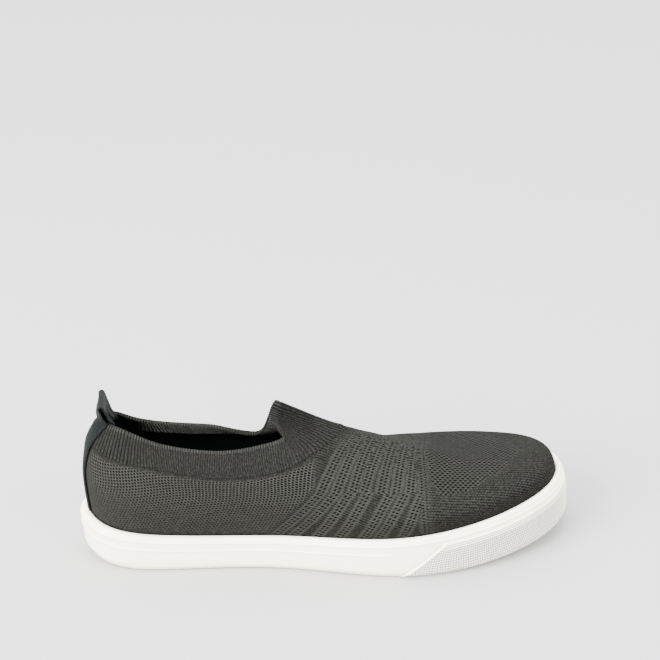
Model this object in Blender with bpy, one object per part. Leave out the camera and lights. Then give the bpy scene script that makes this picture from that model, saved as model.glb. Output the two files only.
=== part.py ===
import bmesh
import bpy
import numpy as np

# Start from an empty scene.
for old in list(bpy.data.objects):
    bpy.data.objects.remove(old, do_unlink=True)

# Named sizes in metres. Toe is +X, lateral (outer) side is -Y, floor is z = 0.
LENGTH = 0.2900
BALL_WIDTH = 0.1020
INSTEP_HEIGHT = 0.0933

FIT_GAP = 0.0003
KNIT_WALL = 0.0020
HEEL_PAD = 0.0030
RIB_STEP = 0.0004
RIM_ROUND = 0.0006

FOXING_HEIGHT = 0.0377
FLOOR_HEIGHT = 0.0130
SHOULDER_RISE = 0.0140
SHOULDER_BULGE = 0.0018
SEAM_INSET = 0.0057
LIP_RISE = 0.0004
SIDE_TUCK = 0.0018
LINE_RISE = 0.0005
LIP_INSET = 0.0013
TOE_SPRING = 0.0084
SPRING_START = 0.195
HEEL_KICK = 0.0045
KICK_START = 0.035

INSOLE_THICK = 0.0040
INSOLE_EDGE = 0.0008
OUTSOLE_INSET = 0.0072
OUTSOLE_THICK = 0.0034
OUTSOLE_PROUD = 0.0006
TREAD_BORDER = 0.0085
TREAD_DEPTH = 0.0015
RIB_PITCH = 0.0096
GROOVE = 0.0034
ZIG_LENGTH = 0.0150
ZIG_RISE = 0.0040
BAND_WIDTH = 0.0060

BUMPER_THICK = 0.0011
BUMPER_GAP = 0.0004
BUMPER_TOP = 0.79

RIBBON_THICK = 0.0012
RIBBON_HALF = 0.0106
LOOP_TOP = 0.0995
LOOP_X = 0.0202
LOOP_SKEW = 0.0010
LOOP_EASE = 0.0009
INNER_END_SHARE = 0.84

RING = 80

# Sole outline in plan, heel centre first, then lateral side to the toe and back on the medial side.
# Columns: x as a share of LENGTH, y as a share of BALL_WIDTH.
OUTLINE = (
    (0.000, 0.000), (0.021, -0.176), (0.076, -0.297), (0.190, -0.345),
    (0.414, -0.371), (0.655, -0.497), (0.810, -0.444), (0.910, -0.317),
    (0.979, -0.139), (1.000, 0.057), (0.979, 0.253), (0.910, 0.397),
    (0.810, 0.480), (0.690, 0.501), (0.552, 0.390), (0.397, 0.299),
    (0.207, 0.337), (0.076, 0.290), (0.021, 0.172),
)

# Height of the seam between foxing and upper above the floor.
# Columns: x as a share of LENGTH, heights lateral and medial as shares of FOXING_HEIGHT.
SEAM = (
    (0.000, 0.748, 0.748), (0.103, 0.629, 0.629), (0.310, 0.536, 0.536),
    (0.517, 0.581, 0.581), (0.724, 0.692, 0.700), (0.879, 0.838, 0.859),
    (1.000, 1.000, 1.000),
)

# Height of the floor of the foxing cup above the tread face.
# Columns: x as a share of LENGTH, height as a share of FLOOR_HEIGHT.
FLOOR = ((0.00, 1.000), (0.20, 0.962), (0.52, 0.731), (1.00, 0.654))

# Shoulder of the upper over the seam.
# Columns: way round the outline, rise over the seam as a share of SHOULDER_RISE,
# bulge outwards as a share of SHOULDER_BULGE.
SHOULDER = (
    (0.000, 1.000, 0.222), (0.100, 0.929, 0.778), (0.225, 0.857, 1.000),
    (0.330, 0.786, 0.889), (0.400, 0.679, 0.333), (0.4875, 0.571, -1.667),
    (0.575, 0.607, 0.222), (0.650, 0.714, 0.889), (0.780, 0.857, 1.000),
    (0.900, 0.929, 0.778),
)

# Loops of the upper's outer face, way round the outline as in OUTLINE.
# Columns: way round, x as a share of LENGTH, y as a share of BALL_WIDTH, z as a share of INSTEP_HEIGHT.
BODY = (
    (0.0000, 0.0224, 0.000, 0.622), (0.0500, 0.0534, -0.202, 0.600), (0.1000, 0.1431, -0.298, 0.568),
    (0.1625, 0.2862, -0.320, 0.525), (0.2250, 0.4621, -0.349, 0.541), (0.2750, 0.5724, -0.338, 0.568),
    (0.3300, 0.6690, -0.265, 0.581), (0.4000, 0.7448, -0.147, 0.576), (0.4875, 0.7897, 0.020, 0.541),
    (0.5750, 0.7448, 0.216, 0.486), (0.6375, 0.6621, 0.324, 0.479), (0.7000, 0.5724, 0.353, 0.499),
    (0.7500, 0.4828, 0.319, 0.504), (0.8000, 0.3759, 0.294, 0.504), (0.8500, 0.2621, 0.294, 0.514),
    (0.9000, 0.1483, 0.284, 0.568), (0.9500, 0.0586, 0.199, 0.600),
)
BAND = (
    (0.0000, 0.0362, 0.000, 0.793), (0.0500, 0.0724, -0.176, 0.766), (0.1000, 0.1414, -0.245, 0.729),
    (0.1625, 0.2552, -0.294, 0.671), (0.2000, 0.3483, -0.304, 0.654), (0.2250, 0.4276, -0.301, 0.686),
    (0.2400, 0.4621, -0.279, 0.721), (0.2550, 0.4931, -0.230, 0.752), (0.2800, 0.5190, -0.172, 0.772),
    (0.3300, 0.5397, -0.093, 0.780), (0.4000, 0.5517, -0.025, 0.778), (0.4875, 0.5569, 0.039, 0.766),
    (0.5750, 0.5414, 0.137, 0.720), (0.6375, 0.5172, 0.216, 0.672), (0.7000, 0.4690, 0.270, 0.622),
    (0.7500, 0.4138, 0.279, 0.573), (0.8000, 0.3483, 0.270, 0.579), (0.8500, 0.2552, 0.255, 0.616),
    (0.9000, 0.1448, 0.216, 0.702), (0.9500, 0.0741, 0.157, 0.761),
)
RIM = (
    (0.0000, 0.0638, 0.000, 0.932), (0.0400, 0.0845, -0.083, 0.924), (0.0700, 0.1138, -0.137, 0.922),
    (0.1000, 0.1507, -0.176, 0.887), (0.1300, 0.1966, -0.201, 0.841), (0.1625, 0.2700, -0.221, 0.804),
    (0.1900, 0.3310, -0.219, 0.793), (0.2200, 0.4034, -0.200, 0.821), (0.2375, 0.4355, -0.175, 0.847),
    (0.2550, 0.4297, -0.131, 0.882), (0.2800, 0.4190, -0.086, 0.908), (0.3300, 0.4131, -0.049, 0.935),
    (0.4000, 0.4138, -0.022, 0.968), (0.4875, 0.4228, 0.007, 1.000), (0.5500, 0.4131, 0.039, 0.938),
    (0.6000, 0.4034, 0.074, 0.852), (0.6500, 0.3931, 0.113, 0.761), (0.7000, 0.3759, 0.147, 0.686),
    (0.7500, 0.3379, 0.160, 0.684), (0.8000, 0.2897, 0.157, 0.735), (0.8500, 0.2276, 0.152, 0.763),
    (0.9000, 0.1483, 0.127, 0.818), (0.9300, 0.1138, 0.115, 0.863), (0.9600, 0.0872, 0.083, 0.916),
)

# Side of the foxing from the floor edge to the lip.
# Columns: share of the height, inset from the outline as a share of SIDE_TUCK, share of the raised line there.
SIDE = (
    (0.00, 1.000, 0.0), (0.05, 0.444, 0.0), (0.14, 0.111, 0.0), (0.35, 0.000, 0.0),
    (0.615, 0.000, 0.0), (0.630, 0.000, 1.0), (0.660, 0.000, 1.0), (0.675, 0.000, 0.0),
    (0.870, 0.167, 0.0), (0.885, 0.167, 1.0), (0.910, 0.222, 1.0), (0.925, 0.278, 0.0),
    (1.00, 0.778, 0.0),
)

# Ends of the toe bumper on the outline.
# Columns: way round at its foot, way round at its top edge.
BUMPER_START = (0.297, 0.334)
BUMPER_END = (0.690, 0.655)

# Flat bands of the tread, as lines in plan.
# Columns: x as a share of LENGTH, y as a share of BALL_WIDTH.
FORE_BAND = (
    (0.600, -0.420), (0.640, -0.300), (0.720, -0.140), (0.820, -0.060), (0.880, 0.020),
    (0.890, 0.120), (0.860, 0.160), (0.830, 0.100), (0.770, 0.060), (0.700, 0.100),
    (0.640, 0.220), (0.600, 0.440),
)
HEEL_BAND = (
    (0.270, -0.340), (0.225, -0.140), (0.150, -0.060), (0.085, 0.000), (0.090, 0.070),
    (0.150, 0.080), (0.215, 0.130), (0.250, 0.330),
)


def spline(knots, values, at):
    """Closed cubic curve through the values, read at the given places."""
    k = np.asarray(knots, float)
    v = np.asarray(values, float)
    n = len(k) - 1
    h = np.diff(k)
    d = np.diff(v, axis=0) / h[:, None]
    a = np.zeros((n, n))
    b = np.zeros((n, v.shape[1]))
    for i in range(n):
        p = (i - 1) % n
        a[i, p] += h[p]
        a[i, i] += 2 * (h[p] + h[i])
        a[i, (i + 1) % n] += h[i]
        b[i] = 6 * (d[i] - d[p])
    m = np.linalg.solve(a, b)
    m = np.vstack([m, m[:1]])
    t = k[0] + np.mod(np.asarray(at, float) - k[0], k[-1] - k[0])
    i = np.clip(np.searchsorted(k, t, side="right") - 1, 0, n - 1)
    u = (t - k[i])[:, None]
    w = (k[i + 1] - t)[:, None]
    g = h[i][:, None]
    return (m[i] * w ** 3 / (6 * g) + m[i + 1] * u ** 3 / (6 * g)
            + (v[i] / g - m[i] * g / 6) * w + (v[i + 1] / g - m[i + 1] * g / 6) * u)


def loop(table, at):
    """A closed table with the way round in its first column, read at the given ways."""
    rows = np.asarray(table, float)
    knots = np.append(rows[:, 0], 1.0)
    return spline(knots, np.vstack([rows[:, 1:], rows[:1, 1:]]), at)


def outline(at):
    pts = np.asarray(OUTLINE + OUTLINE[:1], float) * (LENGTH, BALL_WIDTH)
    step = np.hypot(*np.diff(pts, axis=0).T) ** 0.75
    knots = np.append(0.0, np.cumsum(step))
    return spline(knots / knots[-1], pts, at)


def inward(at):
    at = np.asarray(at, float)
    along = outline(at + 1e-4) - outline(at - 1e-4)
    along /= np.linalg.norm(along, axis=1)[:, None]
    return np.column_stack([-along[:, 1], along[:, 0]])


def inset(at, by):
    return outline(at) + inward(at) * np.reshape(by, (-1, 1))


def smooth(a, b, x):
    t = np.clip((np.asarray(x, float) - a) / (b - a), 0, 1)
    return t * t * (3 - 2 * t)


def tread_z(x):
    x = np.asarray(x, float)
    toe = np.clip((x - SPRING_START) / (LENGTH - SPRING_START), 0, None)
    heel = np.clip((KICK_START - x) / KICK_START, 0, None)
    return TOE_SPRING * toe ** 2 + HEEL_KICK * heel ** 2


def seam_z(xy):
    rows = np.asarray(SEAM)
    lateral = np.interp(xy[:, 0], rows[:, 0] * LENGTH, rows[:, 1])
    medial = np.interp(xy[:, 0], rows[:, 0] * LENGTH, rows[:, 2])
    side = smooth(-0.118, 0.196, xy[:, 1] / BALL_WIDTH)
    return (lateral * (1 - side) + medial * side) * FOXING_HEIGHT


def seam_height(at):
    """Seam height, evened out along the outline so that its table leaves no corners."""
    at = np.asarray(at, float)
    spread = (-0.03, -0.015, 0.0, 0.015, 0.03)
    return sum(seam_z(outline(at + s)) for s in spread) / len(spread)


def floor_z(x):
    rows = np.asarray(FLOOR)
    return tread_z(x) + np.interp(x, rows[:, 0] * LENGTH, rows[:, 1]) * FLOOR_HEIGHT


def with_z(xy, z):
    return np.column_stack([xy, np.broadcast_to(z, len(xy))])


# The upper's outer face: a curve from the seam over shoulder, body and rib band to the rim.
def guides(at):
    at = np.asarray(at, float)
    scale = np.array([LENGTH, BALL_WIDTH, INSTEP_HEIGHT])
    z = seam_height(at)
    seam = with_z(inset(at, SEAM_INSET), z)
    rise, bulge = (loop(SHOULDER, at) * (SHOULDER_RISE, SHOULDER_BULGE)).T
    shoulder = with_z(inset(at, SEAM_INSET - bulge), z + rise)
    return np.stack([seam, shoulder] + [loop(t, at) * scale for t in (BODY, BAND, RIM)])


def outer(at, s):
    """Points of the outer face, one per way round, s from 0 at the seam to 4 at the rim."""
    g = guides(at)
    first = g[0] - (g[1] - g[0]) * (0.5, 0.5, 1.0)
    last = g[4] * 2 - g[3]
    g = np.concatenate([first[None], g, last[None]])
    s = np.broadcast_to(s, g.shape[1])
    i = np.clip(np.floor(s).astype(int), 0, 3)
    n = np.arange(g.shape[1])
    p0, p1, p2, p3 = g[i, n], g[i + 1, n], g[i + 2, n], g[i + 3, n]
    d1 = np.linalg.norm(p1 - p0, axis=1) ** 0.5 + 1e-9
    d2 = np.linalg.norm(p2 - p1, axis=1) ** 0.5 + 1e-9
    d3 = np.linalg.norm(p3 - p2, axis=1) ** 0.5 + 1e-9
    d1, d2, d3 = (d[:, None] for d in (d1, d2, d3))
    m1 = (p1 - p0) / d1 - (p2 - p0) / (d1 + d2) + (p2 - p1) / d2
    m2 = (p2 - p1) / d2 - (p3 - p1) / (d2 + d3) + (p3 - p2) / d3
    m1 = m1 * d2
    m2 = m2 * d2
    u = (s - i)[:, None]
    return (p1 * (2 * u ** 3 - 3 * u ** 2 + 1) + m1 * (u ** 3 - 2 * u ** 2 + u)
            + p2 * (-2 * u ** 3 + 3 * u ** 2) + m2 * (u ** 3 - u ** 2))


def normal(at, s):
    at = np.asarray(at, float)
    s = np.broadcast_to(s, len(at)).astype(float)
    e = 2e-3
    around = outer(at + e, s) - outer(at - e, s)
    up = outer(at, np.minimum(s + 0.04, 4.0)) - outer(at, np.maximum(s - 0.04, 0.0))
    n = np.cross(around, up)
    return n / np.linalg.norm(n, axis=1)[:, None]


def wall(at, s):
    """Thickness of the knit wall, padded at the back of the collar."""
    at = np.asarray(at, float)
    away = np.minimum(at % 1.0, 1 - at % 1.0)
    return KNIT_WALL + HEEL_PAD * (1 - smooth(0.010, 0.042, away)) * smooth(1.6, 3.4, s)


def inner(at, s, gap=0.0):
    """Points of the inner face. At the back of the collar the rim is kept level from outside to inside."""
    at = np.asarray(at, float)
    p = outer(at, s)
    n = normal(at, s)
    thick = wall(at, s)
    away = np.minimum(at % 1.0, 1 - at % 1.0)
    up = p - outer(at, max(s - 0.1, 0.0)) if s > 0.1 else np.tile((0.0, 0.0, 1.0), (len(at), 1))
    up = up / np.linalg.norm(up, axis=1)[:, None]
    level = thick * n[:, 2] * (1 - smooth(0.03, 0.08, away)) * smooth(3.2, 4.0, s)
    return p - n * (thick + gap)[:, None] + up * level[:, None]


class Solid:
    """Collects rings of points and the faces between them. The world's origin lies under mid-length."""

    def __init__(self):
        self.bm = bmesh.new()

    def ring(self, pts):
        return [self.bm.verts.new((float(x) - LENGTH / 2, float(y), float(z))) for x, y, z in pts]

    def face(self, corners):
        return self.bm.faces.new(corners)

    def bridge(self, a, b, closed=True):
        n = len(a)
        for i in range(n if closed else n - 1):
            j = (i + 1) % n
            self.face([a[i], a[j], b[j], b[i]])

    def ladder(self, ring):
        """Close a ring with rungs from its lateral to its medial half."""
        n = len(ring)
        self.face([ring[0], ring[1], ring[-1]])
        for i in range(1, n // 2 - 1):
            self.face([ring[i], ring[i + 1], ring[n - i - 1], ring[n - i]])
        self.face([ring[n // 2 - 1], ring[n // 2], ring[n // 2 + 1]])

    def done(self, name, material):
        bmesh.ops.recalc_face_normals(self.bm, faces=self.bm.faces)
        bmesh.ops.triangulate(self.bm, faces=self.bm.faces, quad_method="SHORT_EDGE")
        mesh = bpy.data.meshes.new(name)
        self.bm.to_mesh(mesh)
        self.bm.free()
        obj = bpy.data.objects.new(name, mesh)
        bpy.context.scene.collection.objects.link(obj)
        if material is not None:
            mesh.materials.append(material)
        return obj


def material(name, colour, roughness):
    mat = bpy.data.materials.new(name)
    mat.use_nodes = True
    bsdf = mat.node_tree.nodes["Principled BSDF"]
    bsdf.inputs["Base Color"].default_value = (*colour, 1.0)
    bsdf.inputs["Roughness"].default_value = roughness
    return mat


KNIT = material("knit", (0.085, 0.082, 0.076), 0.9)
RIBBON = material("ribbon", (0.020, 0.030, 0.030), 0.7)
WHITE_RUBBER = material("white_rubber", (0.90, 0.88, 0.83), 0.45)
BUMPER_RUBBER = material("bumper_rubber", (0.78, 0.78, 0.75), 0.5)
DARK_RUBBER = material("dark_rubber", (0.045, 0.038, 0.030), 0.55)
FOOTBED = material("footbed", (0.010, 0.011, 0.012), 0.95)

ways = np.arange(RING) / RING


# Upper: outer face from the cup's floor to the rim, then back down inside.
def build_upper():
    solid = Solid()
    seam = inset(ways, SEAM_INSET)
    foot = with_z(seam, floor_z(seam[:, 0]) + FIT_GAP)
    inner_foot = inset(ways, SEAM_INSET + KNIT_WALL)
    foot_in = with_z(inner_foot, floor_z(inner_foot[:, 0]) + FIT_GAP)
    stops = [0.0, 0.35, 0.7, 1.0, 1.35, 1.7, 2.0, 2.35, 2.7, 3.0, 3.0, 3.33, 3.67, 4.0]
    outside = [solid.ring(foot)]
    inside = [solid.ring(foot_in)]
    for row, s in enumerate(stops):
        p = outer(ways, s)
        n = normal(ways, s)
        step = RIB_STEP if row >= 10 else 0.0
        lift = 0.0
        if row == 10:
            lift = 0.10
            p = outer(ways, s + lift)
            n = normal(ways, s + lift)
        outside.append(solid.ring(p + n * step))
        if row in (0, 2, 4, 6, 8, 11, 13):
            inside.append(solid.ring(inner(ways, s)))
    crown = (outer(ways, 4.0) + inner(ways, 4.0)) / 2
    up = outer(ways, 4.0) - outer(ways, 3.9)
    up /= np.linalg.norm(up, axis=1)[:, None]
    top = solid.ring(crown + up * RIM_ROUND)
    for a, b in zip(outside[:-1], outside[1:]):
        solid.bridge(a, b)
    solid.bridge(outside[-1], top)
    solid.bridge(top, inside[-1])
    for a, b in zip(inside[:-1], inside[1:]):
        solid.bridge(b, a)
    solid.bridge(inside[0], outside[0])
    return solid.done("upper", KNIT)


# Foxing: one closed cup. The side gives way to the toe bumper where that lies on it.
def under_bumper(at):
    at = np.asarray(at, float)
    return smooth(BUMPER_START[0] - 0.02, BUMPER_START[1], at) * (1 - smooth(BUMPER_END[1], BUMPER_END[0] + 0.02, at))


def line_fade(at, share):
    """The lower raised line stops before the bumper, the upper one runs on above it."""
    if share > BUMPER_TOP:
        return 1.0
    return 1 - smooth(BUMPER_START[0] - 0.012, BUMPER_START[0] - 0.002, at) * (
        1 - smooth(BUMPER_END[0] + 0.002, BUMPER_END[0] + 0.012, at))


def side(at, share, off=0.0):
    """Points of the foxing side at a share of its height."""
    rows = np.asarray(SIDE)
    at = np.asarray(at, float)
    base = np.interp(share, rows[:, 0], rows[:, 1]) * SIDE_TUCK
    xy = inset(at, base + BUMPER_THICK * under_bumper(at) - off)
    low = tread_z(outline(at)[:, 0]) + OUTSOLE_PROUD
    high = seam_height(at)
    return with_z(xy, low + (high - low) * share)


def build_foxing():
    solid = Solid()
    rings = []
    for share, _, line in SIDE:
        rise = LINE_RISE * line * line_fade(ways, share)
        rings.append(solid.ring(side(ways, share, rise)))
    seam = inset(ways, SEAM_INSET - FIT_GAP)
    lip = inset(ways, SEAM_INSET - LIP_INSET)
    top = seam_height(ways)
    rings.append(solid.ring(with_z(lip, top + LIP_RISE)))
    rings.append(solid.ring(with_z(seam, top)))
    floor_edge = with_z(seam, floor_z(seam[:, 0]))
    rings.append(solid.ring(floor_edge))
    for a, b in zip(rings[:-1], rings[1:]):
        solid.bridge(a, b)
    solid.ladder(rings[-1])
    recess = inset(ways, OUTSOLE_INSET - FIT_GAP)
    low = tread_z(recess[:, 0])
    rim = solid.ring(with_z(recess, low + OUTSOLE_PROUD))
    roof = solid.ring(with_z(recess, low + OUTSOLE_THICK + FIT_GAP))
    solid.bridge(rings[0], rim)
    solid.bridge(rim, roof)
    solid.ladder(roof)
    return solid.done("foxing", WHITE_RUBBER)


# Toe bumper: a strip laid on the foxing side.
def build_bumper():
    solid = Solid()
    shares = (0.01, 0.07, 0.16, 0.36, 0.60, BUMPER_TOP - 0.03, BUMPER_TOP)
    columns = 34
    faces_out = []
    faces_in = []
    for k, share in enumerate(shares):
        t = (share - shares[0]) / (shares[-1] - shares[0])
        start = BUMPER_START[0] + (BUMPER_START[1] - BUMPER_START[0]) * t
        end = BUMPER_END[0] + (BUMPER_END[1] - BUMPER_END[0]) * t
        at = np.linspace(start, end, columns)
        thick = BUMPER_THICK * (0.55 if k in (0, len(shares) - 1) else 1.0)
        faces_out.append(solid.ring(side(at, share, BUMPER_GAP + thick)))
        faces_in.append(solid.ring(side(at, share, BUMPER_GAP)))
    for a, b in zip(faces_out[:-1], faces_out[1:]):
        solid.bridge(a, b, closed=False)
    for a, b in zip(faces_in[:-1], faces_in[1:]):
        solid.bridge(b, a, closed=False)
    solid.bridge(faces_in[0], faces_out[0], closed=False)
    solid.bridge(faces_out[-1], faces_in[-1], closed=False)
    for j in (0, -1):
        for a, b, c, d in zip(faces_out[:-1], faces_out[1:], faces_in[1:], faces_in[:-1]):
            solid.face([a[j], b[j], c[j], d[j]])
    return solid.done("toe_bumper", BUMPER_RUBBER)


# Heel strip: a ribbon up the back, a folded loop over the rim, and an end inside.
def strip_ways(across, s, inside):
    """Ways round at which the ribbon's width, measured along the face, is reached."""
    fine = np.linspace(-0.09, 0.09, 181)
    p = inner(fine, s, FIT_GAP) if inside else outer(fine, s)
    run = np.append(0.0, np.cumsum(np.linalg.norm(np.diff(p, axis=0), axis=1)))
    run -= run[90]
    return np.interp(across * RIBBON_HALF * (INNER_END_SHARE if inside else 1.0), run, fine)


def build_strip():
    across = np.linspace(-1, 1, 7)
    rows = []
    lead = RIBBON_THICK / 2 + FIT_GAP
    for s in np.linspace(0.08, 4.0, 15):
        at = strip_ways(across, s, False)
        step = RIB_STEP * float(smooth(2.5, 2.95, s))
        rows.append(outer(at, s) + normal(at, s) * (lead + step))
    top_out = rows[-1]
    inner_rows = []
    for s in (4.0, 3.72, 3.44, 3.16, 2.9):
        at = strip_ways(across, s, True)
        inner_rows.append(inner(at, s, lead + LOOP_EASE))
    top_in = inner_rows[0]
    fold = np.column_stack([LOOP_X + LOOP_SKEW * across, -across * RIBBON_HALF, np.full(7, LOOP_TOP)])
    back = np.array([-1.0, 0.0, 0.0])
    up = np.array([0.0, 0.0, 1.0])
    back *= RIBBON_THICK
    up *= RIBBON_THICK
    rows.append(top_out * 0.72 + fold * 0.28 + back * 1.00)
    rows.append(top_out * 0.38 + fold * 0.62 + back * 1.17)
    rows.append(fold + back * 0.83 - up * 1.33)
    rows.append(fold + back * 0.33 - up * 0.25)
    rows.append(fold - back * 0.67 - up * 0.08)
    rows.append(fold - back * 1.33 - up * 1.17)
    rows.append(top_in * 0.40 + fold * 0.60 - back * 0.67)
    rows.append(top_in * 0.74 + fold * 0.26 - back * 0.50)
    rows.extend(inner_rows)
    mid = np.stack(rows)
    along = np.empty_like(mid)
    along[1:-1] = mid[2:] - mid[:-2]
    along[0] = mid[1] - mid[0]
    along[-1] = mid[-1] - mid[-2]
    sideways = np.empty_like(mid)
    sideways[:, 1:-1] = mid[:, 2:] - mid[:, :-2]
    sideways[:, 0] = mid[:, 1] - mid[:, 0]
    sideways[:, -1] = mid[:, -1] - mid[:, -2]
    n = np.cross(sideways, along)
    n /= np.linalg.norm(n, axis=2)[..., None]
    solid = Solid()
    front = [solid.ring(r) for r in mid + n * RIBBON_THICK / 2]
    rear = [solid.ring(r) for r in mid - n * RIBBON_THICK / 2]
    for a, b in zip(front[:-1], front[1:]):
        solid.bridge(a, b, closed=False)
    for a, b in zip(rear[:-1], rear[1:]):
        solid.bridge(b, a, closed=False)
    solid.bridge(rear[0], front[0], closed=False)
    solid.bridge(front[-1], rear[-1], closed=False)
    for j in (0, -1):
        for a, b, c, d in zip(front[:-1], front[1:], rear[1:], rear[:-1]):
            solid.face([a[j], b[j], c[j], d[j]])
    return solid.done("heel_strip", RIBBON)


# Insole: lies on the floor of the cup inside the upper.
def build_insole():
    solid = Solid()
    xy = inset(ways, SEAM_INSET + KNIT_WALL + FIT_GAP * 2)
    edge = inset(ways, SEAM_INSET + KNIT_WALL + FIT_GAP * 2 + INSOLE_EDGE)
    low = floor_z(xy[:, 0]) + FIT_GAP
    foot = solid.ring(with_z(xy, low))
    side_top = solid.ring(with_z(xy, low + INSOLE_THICK - INSOLE_EDGE))
    top = solid.ring(with_z(edge, floor_z(edge[:, 0]) + FIT_GAP + INSOLE_THICK))
    solid.bridge(foot, side_top)
    solid.bridge(side_top, top)
    solid.ladder(foot)
    solid.ladder(top)
    return solid.done("insole", FOOTBED)


# Outsole: a plate cut flat and then bent up at toe and heel.
def prism(ring_xy, low, high):
    """Closed prism over a plan polygon."""
    solid = Solid()
    a = solid.ring(with_z(ring_xy, low))
    b = solid.ring(with_z(ring_xy, high))
    solid.bridge(a, b)
    solid.face(a)
    solid.face(b[::-1])
    return solid


def as_cutter(obj):
    obj.display_type = "WIRE"
    obj.hide_render = True


def cut(target, tool, operation):
    mod = target.modifiers.new(operation.lower(), "BOOLEAN")
    mod.operation = operation
    mod.solver = "EXACT"
    mod.object = tool
    bpy.context.view_layer.update()
    graph = bpy.context.evaluated_depsgraph_get()
    mesh = bpy.data.meshes.new_from_object(target.evaluated_get(graph))
    target.modifiers.remove(mod)
    target.data = mesh


def groove_field():
    """All the zigzag grooves as one set of closed prisms."""
    solid = Solid()
    half = BALL_WIDTH * 0.56
    steps = int(2 * half / (ZIG_LENGTH / 2)) + 1
    y = -half + np.arange(steps + 1) * ZIG_LENGTH / 2
    zig = np.where(np.arange(steps + 1) % 2 == 0, -0.5, 0.5) * ZIG_RISE
    x = RIB_PITCH * 1.3
    while x < LENGTH - RIB_PITCH:
        rear = np.column_stack([x + zig, y])
        front = np.column_stack([x + zig + GROOVE, y])
        rings = []
        for z in (-0.002, TREAD_DEPTH):
            rings.append((solid.ring(with_z(rear, z)), solid.ring(with_z(front, z))))
        (a, b), (c, d) = rings
        solid.bridge(a, b, closed=False)
        solid.bridge(d, c, closed=False)
        solid.bridge(c, a, closed=False)
        solid.bridge(b, d, closed=False)
        solid.face([a[0], b[0], d[0], c[0]])
        solid.face([b[-1], a[-1], c[-1], d[-1]])
        x += RIB_PITCH
    return solid.done("tool_grooves", None)


def band_prism(table, name):
    pts = np.asarray(table) * (LENGTH, BALL_WIDTH)
    knots = np.append(0.0, np.cumsum(np.hypot(*np.diff(pts, axis=0).T)))
    fine = np.linspace(0, knots[-1], 26)
    line = np.column_stack([np.interp(fine, knots, pts[:, 0]), np.interp(fine, knots, pts[:, 1])])
    for _ in range(3):
        line[1:-1] = (line[:-2] + 2 * line[1:-1] + line[2:]) / 4
    along = np.gradient(line, axis=0)
    along /= np.linalg.norm(along, axis=1)[:, None]
    across = np.column_stack([-along[:, 1], along[:, 0]]) * BAND_WIDTH / 2
    ring = np.vstack([line + across, (line - across)[::-1]])
    return prism(ring, -0.003, TREAD_DEPTH + 0.002).done(name, None)


def build_outsole():
    solid = Solid()
    xy = inset(ways, OUTSOLE_INSET)
    foot = solid.ring(with_z(xy, 0.0))
    top = solid.ring(with_z(xy, OUTSOLE_THICK))
    solid.bridge(foot, top)
    solid.ladder(foot)
    solid.ladder(top)
    plate = solid.done("outsole", DARK_RUBBER)
    grooves = groove_field()
    field = prism(inset(ways, OUTSOLE_INSET + TREAD_BORDER), -0.004, TREAD_DEPTH + 0.003).done("tool_field", None)
    fore = band_prism(FORE_BAND, "tool_fore_band")
    heel = band_prism(HEEL_BAND, "tool_heel_band")
    for tool in (grooves, field, fore, heel):
        as_cutter(tool)
    cut(grooves, field, "INTERSECT")
    cut(grooves, fore, "DIFFERENCE")
    cut(grooves, heel, "DIFFERENCE")
    cut(plate, grooves, "DIFFERENCE")
    for tool in (grooves, field, fore, heel):
        bpy.data.objects.remove(tool, do_unlink=True)
    bm = bmesh.new()
    bm.from_mesh(plate.data)
    for v in bm.verts:
        v.co.z += float(tread_z(v.co.x + LENGTH / 2))
    bmesh.ops.triangulate(bm, faces=bm.faces)
    bm.to_mesh(plate.data)
    bm.free()
    return plate


build_upper()
build_foxing()
build_bumper()
build_strip()
build_insole()
build_outsole()
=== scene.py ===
import bmesh
import bpy
import numpy as np
from mathutils import Matrix


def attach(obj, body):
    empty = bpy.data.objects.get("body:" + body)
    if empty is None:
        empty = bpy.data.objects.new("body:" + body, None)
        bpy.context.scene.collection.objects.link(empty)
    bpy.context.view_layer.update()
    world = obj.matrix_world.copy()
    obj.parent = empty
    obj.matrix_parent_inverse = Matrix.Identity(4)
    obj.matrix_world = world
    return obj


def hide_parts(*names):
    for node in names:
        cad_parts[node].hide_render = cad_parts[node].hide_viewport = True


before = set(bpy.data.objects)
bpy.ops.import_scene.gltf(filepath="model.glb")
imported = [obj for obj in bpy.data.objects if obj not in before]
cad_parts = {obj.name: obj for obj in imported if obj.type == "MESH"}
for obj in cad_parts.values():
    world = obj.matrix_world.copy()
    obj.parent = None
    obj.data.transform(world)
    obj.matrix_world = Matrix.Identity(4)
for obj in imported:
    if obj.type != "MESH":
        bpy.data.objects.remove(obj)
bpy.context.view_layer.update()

# Named sizes in metres, as in the part. Toe is +X, lateral side is -Y, floor is z = 0.
LENGTH = 0.2900
BALL_WIDTH = 0.1020
INSTEP_HEIGHT = 0.0933
FIT_GAP = 0.0003
KNIT_WALL = 0.0020
HEEL_PAD = 0.0030
RIB_STEP = 0.0004
RIM_ROUND = 0.0006
SIDE_BLEND = (-0.012, 0.020)
SEAM_INSET = 0.0057
LIP_INSET = 0.0013
TOE_SPRING = 0.0084
SPRING_START = 0.195
HEEL_KICK = 0.0045
KICK_START = 0.035
INSOLE_THICK = 0.0040
OUTSOLE_INSET = 0.0072
OUTSOLE_THICK = 0.0034
OUTSOLE_PROUD = 0.0006
TREAD_BORDER = 0.0085
TREAD_DEPTH = 0.0015
RIB_PITCH = 0.0048
GROOVE = 0.0022
ZIG_LENGTH = 0.0150
ZIG_RISE = 0.0040
BAND_WIDTH = 0.0060
BUMPER_THICK = 0.0011
BUMPER_GAP = 0.0004
BUMPER_TOP = 0.79
RIBBON_THICK = 0.0012
RIBBON_HALF = 0.0106
LOOP_TOP = 0.0995
LOOP_X = 0.0202
LOOP_SKEW = 0.0010
LOOP_EASE = 0.0009
INNER_END_SHARE = 0.84
LINE_RISE = 0.0005

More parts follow.
